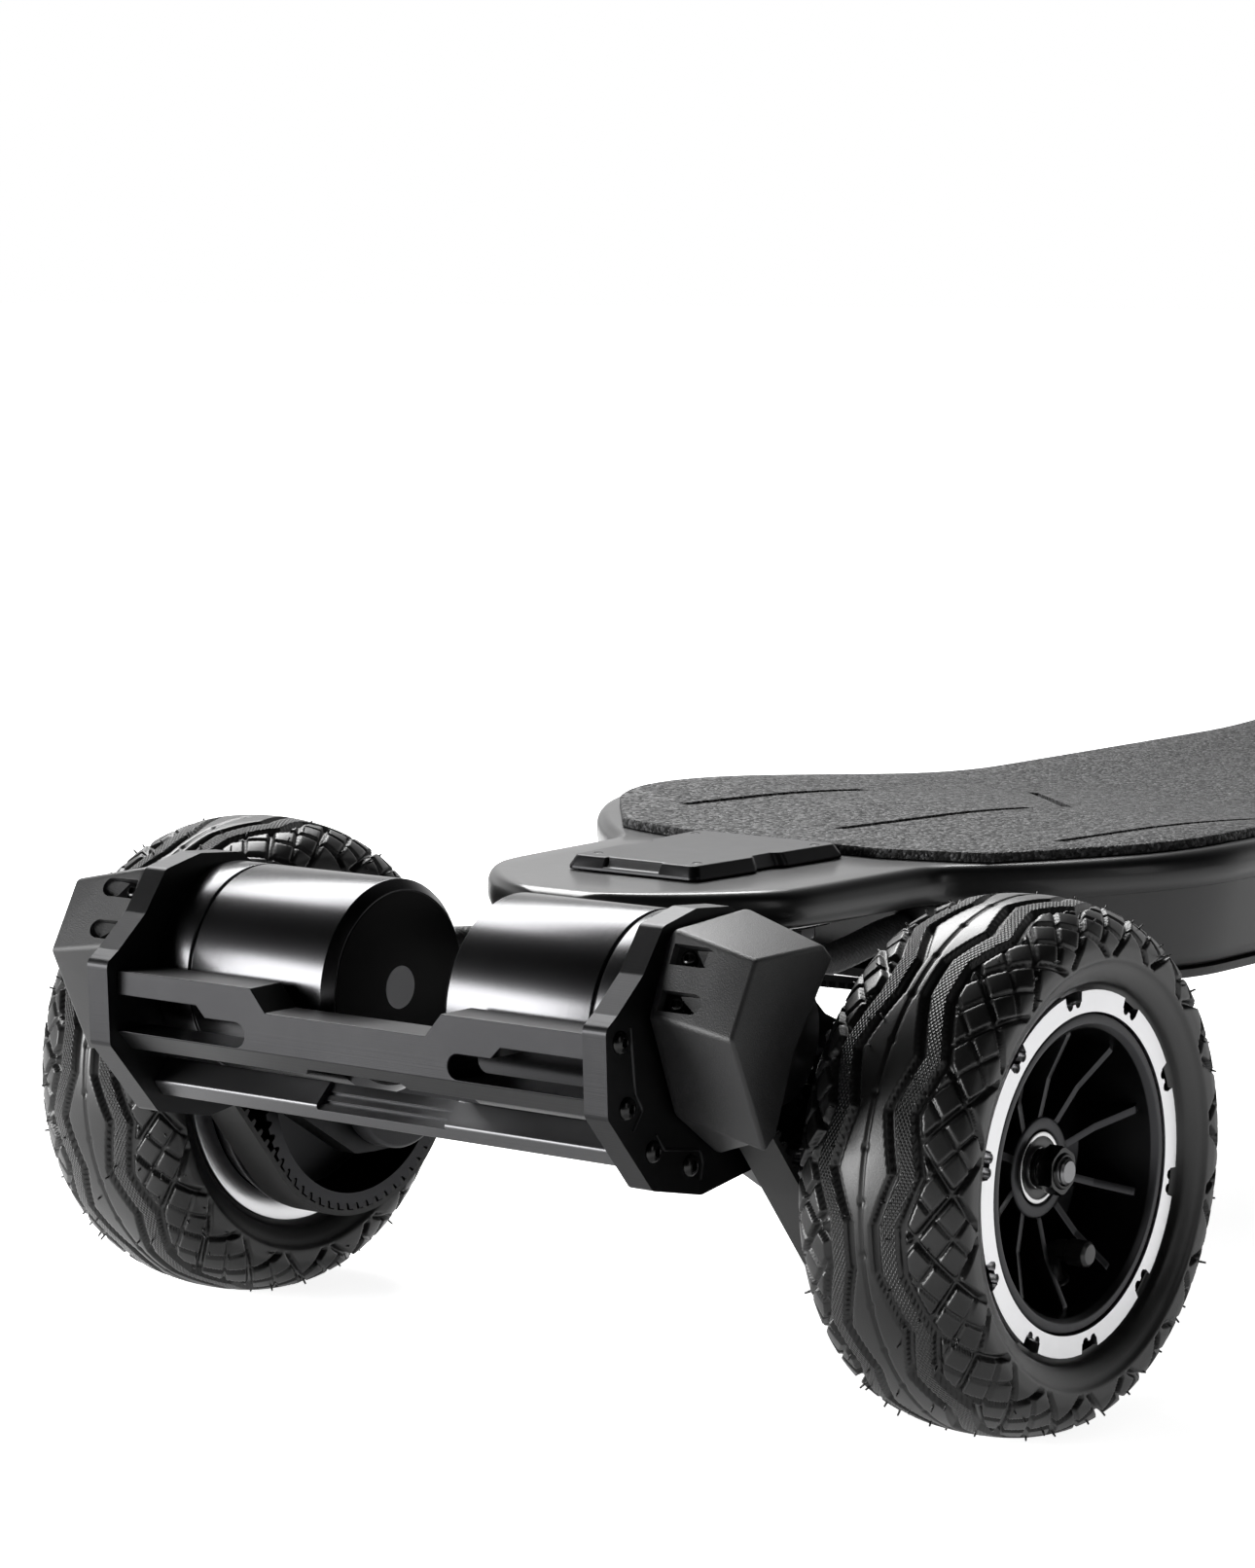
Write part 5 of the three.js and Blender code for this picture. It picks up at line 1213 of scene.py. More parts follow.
button, port, cap = controls()
port_here = deck_place @ Matrix.Translation(Vector((0, PORT_PLACE, port_z)) * MM)
button_here = deck_place @ Matrix.Translation(Vector((0, BUTTON_PLACE, button_z)) * MM)
build("button_cap", button, MACHINED, "power_button", button_here, ["power_button"])
build("charge_socket", port, ANODISED, "board", port_here, ["charge_port"])
build("charge_cap_rubber", cap, BUSHING, "charge_cap", port_here, ["charge_port_cap"])
print("controls at", BUTTON_PLACE, "and", PORT_PLACE, "mm ahead of the middle")

# %% [markdown]
# A truck steers by leaning: the hanger swings about a raked axis between two urethane
# bushings on the kingpin. These pieces are drawn lying along the kingpin or the steering
# axis, and one matrix for each of the two turns them into place.

# %% Truck frames
RAKE = radians(40)
YOKE = 36
PIVOT_REACH = 68
ALONG_PIN = Vector((0, -sin(RAKE), cos(RAKE)))
ALONG_STEER = Vector((0, cos(RAKE), sin(RAKE)))


def axes(x, y, z, at=(0, 0, 0)):
    """A matrix from three directions and a place."""
    return Matrix.Translation(at) @ Matrix((x, y, z)).transposed().to_4x4()


PIN_FRAME = axes(ALONG_PIN, ALONG_STEER, Vector((-1, 0, 0)), ALONG_STEER * YOKE)
STEER_FRAME = axes(ALONG_STEER, ALONG_PIN, Vector((1, 0, 0)))
ARM_FRAME = axes(Vector((1, 0, 0)), ALONG_STEER, ALONG_PIN)


def on_rake(along, across):
    """A point in the truck's middle plane from its distances along and across the steering axis."""
    spot = ALONG_STEER * along + ALONG_PIN * across
    return spot.y, spot.z


def baseplate():
    top = DECK_TOP - PLANK - 0.3
    plate = slab(rounded(rectangle(-28, 28, -6, 88), 8, 6), top - 8, top, "z")
    boss = changed(rod(14, 19.6, 48, 0, 48), PIN_FRAME)
    lug_top = (on_rake(56, 11)[0], top - 4)
    lug = slab([on_rake(56, -11), on_rake(76, -11), (76, top - 4), lug_top, on_rake(56, 11)], -13, 13, "x")
    whole = boolean("UNION", plate, boss, lug)
    trim = slab(rectangle(-60, 60, -60, 140), top, top + 40, "z")
    pin_hole = changed(rod(5.3, -2, 38.3), PIN_FRAME)
    pivot_hole = changed(rod(6.3, 54, PIVOT_REACH + 0.3), STEER_FRAME)
    return boolean("DIFFERENCE", whole, trim, pin_hole, pivot_hole)


def kingpin():
    pin = rod(5, -31.6, 38, 0.8, 40)
    washer = turned(rounded([(-22.1, 5), (-22.1, 12.4), (-19.6, 13.5), (-19.6, 5)], 0.5, 3), 48)
    return joined(pin, washer, hexagon(-30.1, -22.1, 14.7))


def bushing(low):
    """A urethane barrel with a slight waist and eased rims."""
    rim, waist = 13, 12.2
    profile = [(0, 5.3), (0, rim), (3, rim), (6, waist), (9, rim), (12, rim), (12, 5.3)]
    return shifted(turned(rounded(profile, 1.4, 3), 64), low)


base_shape = baseplate()
pin_shape = changed(kingpin(), PIN_FRAME)
upper_shape = changed(bushing(7.3), PIN_FRAME)
lower_shape = changed(bushing(-19.3), PIN_FRAME)
bolt_spots = [(x, y, DECK_TOP - PLANK - 8.3) for x in (-20, 20) for y in (4, 78)]
base_bolts = joined(*[aimed(hexagon(-0.5, 4.5, 8), spot, (0, 0, -1)) for spot in bolt_spots])
for end in ENDS:
    here = truck_place[end]
    build(f"{end}_base_casting", base_shape, FORGED, "board", here, [f"{end}_baseplate"], 0.8)
    build(f"{end}_base_nuts", base_bolts, ZINC, "board", here)
    build(f"{end}_kingpin_bolt", pin_shape, ZINC, "board", here, [f"{end}_kingpin"])
    build(f"{end}_upper_urethane", upper_shape, BUSHING, "board", here, [f"{end}_bushing_upper"])
    build(f"{end}_lower_urethane", lower_shape, BUSHING, "board", here, [f"{end}_bushing_lower"])
print("truck bases made")

# %% [markdown]
# The hanger is the truck's crossbar: a thick round tube turned down to a spindle at each
# wheel, with an arm and a ring that the kingpin passes through. The driven one also has a
# round flange on each side, which the motor plates clamp against.

# %% Hangers and axles
SPINDLE_END = half_track - 14.3
SHOULDER = 103.2
BAR_HALF = 91.6
NUT_START = 9.3


def hanger(driven):
    tube_half = SHOULDER if driven else SHOULDER + 10
    side = [(tube_half, 15), (tube_half, 7), (SPINDLE_END, 7)]
    flange = [(84, 15), (84, 24.5), (BAR_HALF, 24.5), (BAR_HALF, 15)]
    half = [(0, 15), *(flange if driven else []), *side, (SPINDLE_END, 0)]
    outer = rounded(half, 1.2, 4, closed=False)[1:]
    body = turned([(-x, r) for x, r in reversed(outer)] + outer, 96, closed=False)
    arm = changed(slab(rounded([(-30, 8), (30, 8), (16, YOKE), (-16, YOKE)], 2, 3), -7, 7, "z"), ARM_FRAME)
    ring = changed(rod(18, -7, 7, 1.2, 72), PIN_FRAME)
    pivot = changed(rod(6, YOKE + 15, PIVOT_REACH, 0.8, 40), STEER_FRAME)
    whole = boolean("UNION", body, arm, ring, pivot)
    hole = changed(rod(7.8, -20, 20, 0, 48), PIN_FRAME)
    return boolean("DIFFERENCE", whole, hole, rod(4.3, -SPINDLE_END - 5, SPINDLE_END + 5, 0, 40))


def axle():
    """A long rod with threaded ends. The threads are plain rings at the real pitch."""
    tip = half_track + 19
    profile = [(0, 4)]
    x = half_track + 12
    while x < tip - 1.6:
        profile += [(x, 3.95), (x + 0.5, 3.55), (x + 0.75, 3.55)]
        x += 1.25
    profile += [(tip - 0.7, 3.9), (tip, 3.2), (tip, 0)]
    return turned([(-x, r) for x, r in reversed(profile[1:])] + profile, 48, closed=False)


def nut():
    """A flanged spacer and a hexagon nut with a nylon collar, at the axle's outer end."""
    washer = sleeve_ring(0, 2.4, 4.3, 6.2, 0.4, 3, 48)
    collar = turned(rounded([(7.2, 4.2), (7.2, 5.9), (8.4, 5.0), (8.4, 4.2)], 0.5, 3), 48)
    body = boolean("DIFFERENCE", hexagon(2.4, 7.6, 13), rod(4.25, 0, 10, 0, 32))
    return shifted(joined(washer, body, collar), NUT_START)


axle_shape = axle()
nut_shape = nut()
for end in ENDS:
    truck = f"{end}_truck"
    here = truck_place[end]
    build(f"{end}_hanger_bar", hanger(end == "rear"), FORGED, truck, here, [f"{end}_hanger"])
    build(f"{end}_axle_rod", axle_shape, ZINC, truck, here, [f"{end}_axle"])
    for side in SIDES:
        here, node = wheel_place[end, side], f"axle_nut_{end}_{side}"
        build(f"{end}_{side}_axle_nut", nut_shape, SCREW_BLACK, truck, here, [node])
print("hangers", 2 * SPINDLE_END, "mm wide")

# %% [markdown]
# Two thick milled plates carry the motors. The long stretches of their outline are straight
# mill cuts with a small radius at each corner, a round clamp goes over the hanger, and a lobe
# reaches over the motor. The right one is drawn, and the left one is its mirror image.

# %% Motor plates
PLATE_IN, PLATE_OUT = 91.9, 100.3
rear_edge = [(-130.2, 52.6), (-129.2, 27.2), (-108.5, 3.5), (-85.5, -1.5), (-60, 2), (-40, -10), (-16, -25)]
clamp_edge = [(-7, -25.6), (4, -25.8), (16, -20.6), (24.5, -9), (26, 4), (21, 15.5), (12, 23), (2, 26)]
lobe_edge = [(-8, 36), (-24, 43), (-45, 62), (-58, 74), (-71.9, 80.7), (-88, 82)]
lobe_edge += [(-103.6, 78.7), (-113, 66), (-125, 56)]
plate_window = rounded([(-43, 31), (-31, 36), (-18.5, 28.5), (-31, 22.5)], 1.5, 3)
plate_bores = [circle(15.3, 64), circle(9, 48, MOTOR_Y, MOTOR_Z), plate_window]
plate_shape = slab(rounded(rear_edge + clamp_edge + lobe_edge, 3, 4), PLATE_IN, PLATE_OUT, "x", plate_bores)


def sided(side, shape):
    return shape if side == "right" else mirrored(shape)


ON_REAR_TRUCK = ("rear_truck", truck_place["rear"])
PLATE_SCREWS = [(-123.7, 48.3), (-120.6, 29.1), (-108.6, 14.9), (-91, 8.1)]
plate_screws = joined(*[shifted(screw_head(3.4, 1.9, 2.4), PLATE_OUT, y, z) for y, z in PLATE_SCREWS])
LIPS = [
    [(-119, 51.8), (-116.7, 32.7), (-113.3, 27.8), (-117.9, 22.1)],
    [(-107.2, 19.6), (-103.2, 14.6), (-86.2, 11.8), (-84.9, 7.9), (-86.2, 3.1)],
]
lip_paths = [[(PLATE_OUT, y, z) for y, z in rounded(lip, 1.5, 3, closed=False)] for lip in LIPS]
lips = joined(*[pipe(path, 0.45, 8) for path in lip_paths])
for side in SIDES:
    node = f"motor_plate_{side}"
    build(f"{side}_drive_plate", sided(side, plate_shape), PLATE_ANODISED, *ON_REAR_TRUCK, [node], 0.9)
    build(f"{side}_plate_screws", sided(side, plate_screws), SCREW_BLACK, *ON_REAR_TRUCK)
    build(f"{side}_plate_lips", sided(side, lips), PLATE_ANODISED, *ON_REAR_TRUCK)
print("plates", PLATE_OUT - PLATE_IN, "mm thick")

# %% [markdown]
# A motor can is a turned aluminium cup, anodised black, with a groove near the plate and a
# bright little bevel at its inner end, round a black printed disc with one grey dot.
# The can is drawn about its own axis, so that the tool lines run round it.

# %% Motors
MOTOR_END = 21.5
GROOVE = BAR_HALF - 13


def motor_can():
    outer = [
        (MOTOR_END, 0),
        (MOTOR_END, 30),
        (MOTOR_END + 3, MOTOR_RADIUS),
        (GROOVE - 1.2, MOTOR_RADIUS),
        (GROOVE - 1.2, MOTOR_RADIUS - 1),
        (GROOVE, MOTOR_RADIUS - 1),
        (GROOVE, MOTOR_RADIUS),
        (BAR_HALF, MOTOR_RADIUS),
        (BAR_HALF, 30),
        (MOTOR_END + 4, 30),
        (MOTOR_END + 4, 0),
    ]
    return spun(outer, 0.35, 3, 144)


def cable_boss():
    """The round boss on the can that the cable comes out of."""
    low, high = CAN_SURFACE - 2, CAN_SURFACE + 3
    along_y = Matrix.Translation((CABLE_MOTOR_X, 0, CABLE_Z - MOTOR_Z)) @ QUARTER_TURN
    return changed(spun([(low, 0), (low, 8), (high, 8), (high, 0)], 0.8, 3, 40), along_y)


can_shape = motor_can()
disc_shape = shifted(spun([(-0.25, 0), (-0.25, 29.4), (0.2, 29.6), (0.2, 0)], 0.15, 2, 96), MOTOR_END)
dot_shape = shifted(turned([(-0.4, 0), (-0.4, 6.5), (-0.1, 6.7), (-0.1, 0)], 48, False), MOTOR_END)
motor_place = truck_place["rear"] @ Matrix.Translation(Vector((0, MOTOR_Y, MOTOR_Z)) * MM)
AT_MOTORS = ("rear_truck", motor_place)
for side in SIDES:
    node = f"motor_can_{side}"
    build(f"{side}_motor_shell", sided(side, can_shape), CAN_ANODISED, *AT_MOTORS, [node])
    build(f"{side}_cable_boss", sided(side, cable_boss()), ANODISED, *AT_MOTORS)
    build(f"{side}_motor_label", sided(side, disc_shape), PRINT_BLACK, *AT_MOTORS)
    build(f"{side}_motor_dot", sided(side, dot_shape), PRINT_GREY, *AT_MOTORS)
print("motors", 2 * MOTOR_RADIUS, "mm across")

# %% [markdown]
# The belt runs from a small steel pulley on the motor to a large one bolted to the wheel.
# Both pulleys have round-bottomed gaps at the belt's pitch of five millimetres.
# The belt's outline is two arcs and two straight runs, with a tooth at every pitch.

# %% Pulleys and belts
PITCH = 5
WHEEL_TEETH, MOTOR_TEETH = 60, 22
TOOTH = 2.06
BELT_IN, BELT_OUT = 104, 119
# Shares of a pitch from a tooth's middle, with a share of the gap's depth or a height.
GAP_SHAPE = ((-0.22, 0), (0.22, 0), (0.3, 0.55), (0.42, 0.95), (0.5, 1.0), (0.58, 0.95), (0.7, 0.55))
TOOTH_SHAPE = ((-0.3, 0.4), (-0.2, 0.4), (-0.13, -1.5), (0.13, -1.5), (0.2, 0.4), (0.3, 0.4))


def pitch_radius(teeth):
    return teeth * PITCH / (2 * pi)


WHEEL_TIP = pitch_radius(WHEEL_TEETH) - 0.57
MOTOR_TIP = pitch_radius(MOTOR_TEETH) - 0.57


def toothed(teeth, tip, shift=0.0):
    """A pulley's outline with a rounded gap for each tooth of the belt."""
    outline = []
    pitch = 2 * pi / teeth
    for i in range(teeth):
        for share, depth in GAP_SHAPE:
            turn = (i + share + shift) * pitch
            r = tip - TOOTH * depth
            outline.append((r * cos(turn), r * sin(turn)))
    return outline


def wheel_pulley():
    """In the wheel's own place, so x is measured outwards from the tyre's middle."""
    start, stop = BELT_IN - 0.4 - half_track, BELT_OUT + 0.4 - half_track
    band = slab(toothed(WHEEL_TEETH, WHEEL_TIP), start, stop, "x", [circle(41.8, 96)])
    face = -22.9
    web = [(face, 46), (face, 12), (face - 3, 12), (face - 3, 41.8)]
    profile = [(stop - 0.2, 41.8), (stop - 0.2, 49.1), (stop + 2, 49.1), *web]
    return joined(band, turned(rounded(profile, 0.4, 2), 120))


def motor_pulley(shift):
    start, stop = BELT_IN - 0.4, BELT_OUT + 0.4
    teeth = slab(toothed(MOTOR_TEETH, MOTOR_TIP, shift), start, stop, "x")
    rim = spun([(0, 0), (0, 20.4), (0.8, 20.4), (0.8, 0)], 0.3, 2, 96)
    rims = [shifted(rim, x) for x in (start - 0.8, stop)]
    return joined(teeth, rod(8, PLATE_OUT + 1, start, 0.5, 48), *rims)


def belt():
    """The toothed belt's outline, and how far round the motor pulley its teeth sit."""
    small, large = MOTOR_TIP, WHEEL_TIP
    distance = hypot(MOTOR_Y, MOTOR_Z)
    lean = acos((small - large) / distance)
    towards_wheel = atan2(-MOTOR_Z, -MOTOR_Y)
    first, second = (2 * pi - 2 * lean) * small, 2 * lean * large
    run = sqrt(distance**2 - (large - small) ** 2)
    whole = first + second + 2 * run

    def from_wheel(turn, radius):
        return Vector((cos(turn), sin(turn))) * radius

    def from_motor(turn, radius):
        return Vector((MOTOR_Y, MOTOR_Z)) + from_wheel(turn, radius)

    def walk(extra, spots):
        """Points on the belt's path at distances along it, and pushed out from the pulleys' tips."""
        points = []
        for s in spots:
            s = s % whole
            if s < first:
                spot = from_motor(towards_wheel + lean + s / small, small + extra)
            elif s < first + run:
                turn = towards_wheel - lean
                start, stop = from_motor(turn, small + extra), from_wheel(turn, large + extra)
                spot = start.lerp(stop, (s - first) / run)
            elif s < first + run + second:
                spot = from_wheel(towards_wheel - lean + (s - first - run) / large, large + extra)
            else:
                turn = towards_wheel + lean
                start, stop = from_wheel(turn, large + extra), from_motor(turn, small + extra)
                spot = start.lerp(stop, (s - first - run - second) / run)
            points.append(tuple(spot))
        return points

    small_pitch = 2 * pi * small / MOTOR_TEETH
    back = walk(2.2, np.linspace(0, whole, 260, endpoint=False))
    # The teeth sit in the wheel pulley's gaps, which lie half a pitch off the x axis of the wheel.
    wheel_step = 2 * pi / WHEEL_TEETH
    turn = towards_wheel - lean
    offset = ((0.5 - turn / wheel_step) % 1) * wheel_step * WHEEL_TIP
    first_tooth = first + run + offset
    count = round(whole / (wheel_step * WHEEL_TIP))
    pitch = whole / count
    front = []
    for i in range(count):
        middle = first_tooth + i * pitch
        for share, height in TOOTH_SHAPE:
            front += walk(height, [middle + share * pitch])
    gap = (first_tooth - round(first_tooth / pitch) * pitch) / small_pitch
    turns_at = (towards_wheel + lean) / (2 * pi / MOTOR_TEETH) + gap
    return back, front, turns_at + 0.5, count


belt_back, belt_front, motor_shift, belt_teeth = belt()
belt_shape = slab(belt_back, BELT_IN, BELT_OUT, "x", [belt_front])
for side in SIDES:
    body, here, node = f"wheel_rear_{side}", wheel_place["rear", side], f"wheel_pulley_{side}"
    build(f"{side}_wheel_sprocket", wheel_pulley(), ANODISED, body, here, [node])
    small_one, node = sided(side, motor_pulley(motor_shift)), f"motor_pulley_{side}"
    build(f"{side}_motor_sprocket", small_one, ZINC, f"rotor_{side}", motor_place, [node])
    node = f"drive_belt_{side}"
    build(f"{side}_toothed_belt", sided(side, belt_shape), BELT_RUBBER, *ON_REAR_TRUCK, [node])
print("belts with", belt_teeth, "teeth")

# %% [markdown]
# The belt covers are moulded in a fine-grained black plastic. The blank is a skin between two
# outlines with a chamfer along the plate, all its edges are rounded, and then the hollow for
# the belt and two screw pockets are cut out of it. Each pocket ends in a round scoop.

# %% Belt covers
COVER_OUT = 132
COVER_MIDDLE = (-85, 45)
POCKET_START, POCKET_LENGTH, POCKET_DEPTH = 3.5, 11, 3.4
plate_side = [(-66.9, 80), (-101.5, 78), (-112.6, 54.5), (-100.3, 23.7)]
plate_side += [(-80.3, 9.7), (-72, 24), (-64, 44), (-60, 64)]
outer_side = [(-69.7, 72), (-102.6, 72), (-114.4, 50.7), (-98.1, 16.6)]
outer_side += [(-92.5, 21.3), (-83.7, 43.8), (-69.6, 62.8), (-65, 67.7)]
plate_hollow = [(-40, 78.9), (-99.8, 75.4), (-109.8, 54.4), (-98.3, 25.6), (-80.6, 13.2), (-40, 13.2)]
outer_hollow = [(-40, 69.4), (-101.1, 69.4), (-111.5, 50.7), (-97.2, 20.4), (-93.2, 23.6), (-40, 23.6)]


def soft_edges(shape, width, segments=5):
    """Rounds all edges of a shape for good, before anything is cut out of it."""
    mesh = bpy.data.meshes.new("scratch")
    mesh.from_pydata(shape[0], [], shape[1])
    work = bmesh.new()
    work.from_mesh(mesh)
    bmesh.ops.recalc_face_normals(work, faces=work.faces)
    bmesh.ops.bevel(
        work,
        geom=list(work.edges),
        offset=width,
        segments=segments,
        profile=0.5,
        affect="EDGES",
        clamp_overlap=True,
    )
    work.to_mesh(mesh)
    work.free()
    result = [tuple(v.co) for v in mesh.vertices], [tuple(p.vertices) for p in mesh.polygons]
    bpy.data.meshes.remove(mesh)
    return result


def inset(outline, middle, amount):
    """An outline drawn in towards a middle point."""
    result = []
    for y, z in outline:
        way = Vector((y - middle[0], z - middle[1]))
        result.append(tuple(Vector(middle) + way * (1 - amount / way.length)))
    return result


def skin_between(*loops):
    """A skin between flat outlines at set places along x."""
    return loft([[(x, y, z) for y, z in outline] for x, outline in loops])


def belt_cover():
    start = PLATE_OUT + 0.3
    chamfered = (start, inset(plate_side, COVER_MIDDLE, 1.6))
    blank = skin_between(chamfered, (start + 2.4, plate_side), (COVER_OUT, outer_side))
    blank = soft_edges(blank, 1.8)
    hollow = skin_between((start - 0.5, plate_hollow), (COVER_OUT - 2.6, outer_hollow))
    bottom, top = Vector((-113.2, 53.2)), Vector((-101.9, 76))
    up = top - bottom
    out = Vector((-up.y, up.x)).normalized()
    pockets = []
    spots = []
    for low, high in ((0.66, 0.92), (0.12, 0.38)):
        half = up.length * (high - low) / 2
        centre = bottom + up * (low + high) / 2
        first = start + POCKET_START
        last = first + POCKET_LENGTH
        ring = [(first, -half), (last, -half)]
        ring += [(last + half * cos(t), half * sin(t)) for t in np.linspace(-pi / 2, pi / 2, 13)[1:-1]]
        ring += [(last, half), (first, half)]
        rim, base = [], []
        for x, across in ring:
            spot = centre + up.normalized() * across
            rim.append((x, *(spot + out * 4)))
            sunk = centre + up.normalized() * across * 0.86
            depth = POCKET_DEPTH - 2.2 * max(0, x - last + 0.1) / half
            base.append((x, *(sunk - out * depth)))
        pockets.append(loft([rim, base]))
        spots.append((start + 7.2, *(centre - out * POCKET_DEPTH)))
    shell = boolean("DIFFERENCE", blank, hollow, *pockets)
    screws = joined(*[aimed(screw_head(2.6, 1.6, 2.0), spot, (0, *out)) for spot in spots])
    return shell, screws


cover_shape, cover_screws = belt_cover()
for side in SIDES:
    node = f"belt_cover_{side}"
    build(f"{side}_belt_guard", sided(side, cover_shape), COVER_PLASTIC, *ON_REAR_TRUCK, [node])
    build(f"{side}_guard_screws", sided(side, cover_screws), SCREW_BLACK, *ON_REAR_TRUCK)
print("covers reach", COVER_OUT, "mm from the middle")

# %% [markdown]
# Between the plates a milled bar guards the motors, with a wide notch in its top and a long
# slot towards each end. Below it a brace of satin grey metal ties the plates together, with
# a recessed panel and two grooves in its middle.

# %% Guard bar and brace
GUARD_REAR, GUARD_FRONT = -126, -112
SLOT_IN, SLOT_LOW, SLOT_MID, SLOT_HIGH = 39.5, 31.5, 39, 42.5


def guard_bar():
    middle, end = (SLOT_MID + SLOT_LOW) / 2, (SLOT_MID - SLOT_LOW) / 2
    slot_end = arc(SLOT_IN + end, middle, end, -90, -270, 14)
    right = [
        (18, 27),
        (20, 25),
        (BAR_HALF, 25),
        (BAR_HALF, SLOT_LOW),
        *slot_end,
        (55.5, SLOT_MID),
        (59, SLOT_HIGH),
        (BAR_HALF, SLOT_HIGH),
        (BAR_HALF, 50),
        (37, 50),
        (31, 43),
    ]
    outline = right + [(-x, z) for x, z in reversed(right)]
    bar = slab(outline, GUARD_REAR, GUARD_FRONT, "y")
    corner = [(GUARD_REAR - 2, 33), (GUARD_REAR - 2, 23), (GUARD_REAR + 8, 23)]
    return boolean("DIFFERENCE", bar, slab(corner, -BAR_HALF - 2, BAR_HALF + 2, "x"))


def guard_brace():
    section = [(-103.5, 20), (-110.5, 13.4), (-106.5, 8.5), (-98, 8.5), (-94.5, 12), (-94.5, 16.5)]
    body = slab(rounded(section, 1, 3), -BAR_HALF, BAR_HALF, "x")
    start, stop = Vector(section[0]), Vector(section[1])
    along = stop - start
    inward = Vector((-along.y, along.x)).normalized()

    def trench(low, high, depth):
        corners = [(low, depth), (low, -6), (high, -6), (high, depth)]
        return slab([tuple(start + along * share + inward * d) for share, d in corners], -25, 25, "x")

    grooves = [trench(share, share + 0.14, 2.5) for share in (0.28, 0.62)]
    return boolean("DIFFERENCE", body, trench(-0.3, 1.2, 1.6), *grooves)


build("guard_rail", guard_bar(), GUARD_ANODISED, *ON_REAR_TRUCK, ["guard_bar"], 0.7)
build("brace_rail", guard_brace(), BRACE_METAL, *ON_REAR_TRUCK, ["guard_brace"], 0.3)

# %% [markdown]
# The tyres draw the eye first. The tread has a smooth centre rib that swells and narrows, a
# fine split down its middle, a zigzag groove on each side, a band of knurled rubber, a second
# groove, and then a lattice of crossing cuts out to the shoulder.
# A grid of points is bent round the tyre's cross-section, and each point is pushed in where
# a groove passes. All four tyres share this one mesh, so its detail costs its memory once.

# %% Tyre form
COLUMNS = 960
ROW_STEP = 0.62
CROWN_LIMIT = 39
RIB_PERIOD = 60
RIB_TURNS = [0, 12, 25, 36, 46, 60]
RIB_HALVES = [10.6, 5.8, 10.2, 4.4, 4.4, 10.6]
RIB_START = 33
BAND = 6.4
LATTICE_PERIOD = 20
LATTICE = [
    # lean, start in degrees, half width, depth, distance from the middle where it stops
    (1, 0, 0.85, 2.1, 37),
    (-1, 10, 0.85, 2.1, 37),
    (1, 10, 0.35, 1.1, 33),
    (-1, 0, 0.35, 1.1, 33),
]
WIDEST, WIDEST_HALF = 67, 28.8
WALL = [(28.5, 63.4), (27.2, 59.4), (25.2, 56.4), (23.6, 55.3), (22.8, 54.4), (22.0, 53.2)]
HAIRS, HAIR_SEED = 150, 7


def tyre_profile():
    """Points from the crown's middle to the bead, as (x, radius), close together."""
    turns = np.radians(np.linspace(90, 0, 60))
    power = 2 / 2.2
    x = WIDEST_HALF * np.abs(np.cos(turns)) ** power
    r = WIDEST + (tyre_radius - WIDEST) * np.abs(np.sin(turns)) ** power
    crown = np.stack([x, r, 0 * x], axis=1)
    wall = smooth_path([(x, r, 0) for x, r in [(WIDEST_HALF, WIDEST), *WALL]], 40)
    line = np.concatenate([crown, wall[1:]])[:, :2]
    line[0] = (0, tyre_radius)
    return line


def both_halves(values, sign):
    """A row of values with its mirror image before it."""
    return np.concatenate([sign * values[:0:-1], values])


def sample_profile(line):
    """Rows at set distances from the crown's middle: position, direction outwards, and distance."""
    walked = np.concatenate([[0], np.cumsum(np.linalg.norm(np.diff(line, axis=0), axis=1))])
    rows = np.concatenate([np.arange(0, CROWN_LIMIT, ROW_STEP), np.arange(CROWN_LIMIT, walked[-1], 1.1)])
    x = np.interp(rows, walked, line[:, 0])
    r = np.interp(rows, walked, line[:, 1])
    dx, dr = np.gradient(x), np.gradient(r)
    size = np.hypot(dx, dr)
    spots = np.stack([both_halves(x, -1), both_halves(r, 1)], axis=1)
    out = np.stack([both_halves(-dr / size, -1), both_halves(dx / size, 1)], axis=1)
    return both_halves(rows, -1), spots, out


def cut(distance, half_width, depth, wall=0.75):
    """How deep a groove with sloping walls is at a distance from its middle."""
    share = np.clip((half_width + wall - np.abs(distance)) / wall, 0, 1)
    return depth * share * share * (3 - 2 * share)


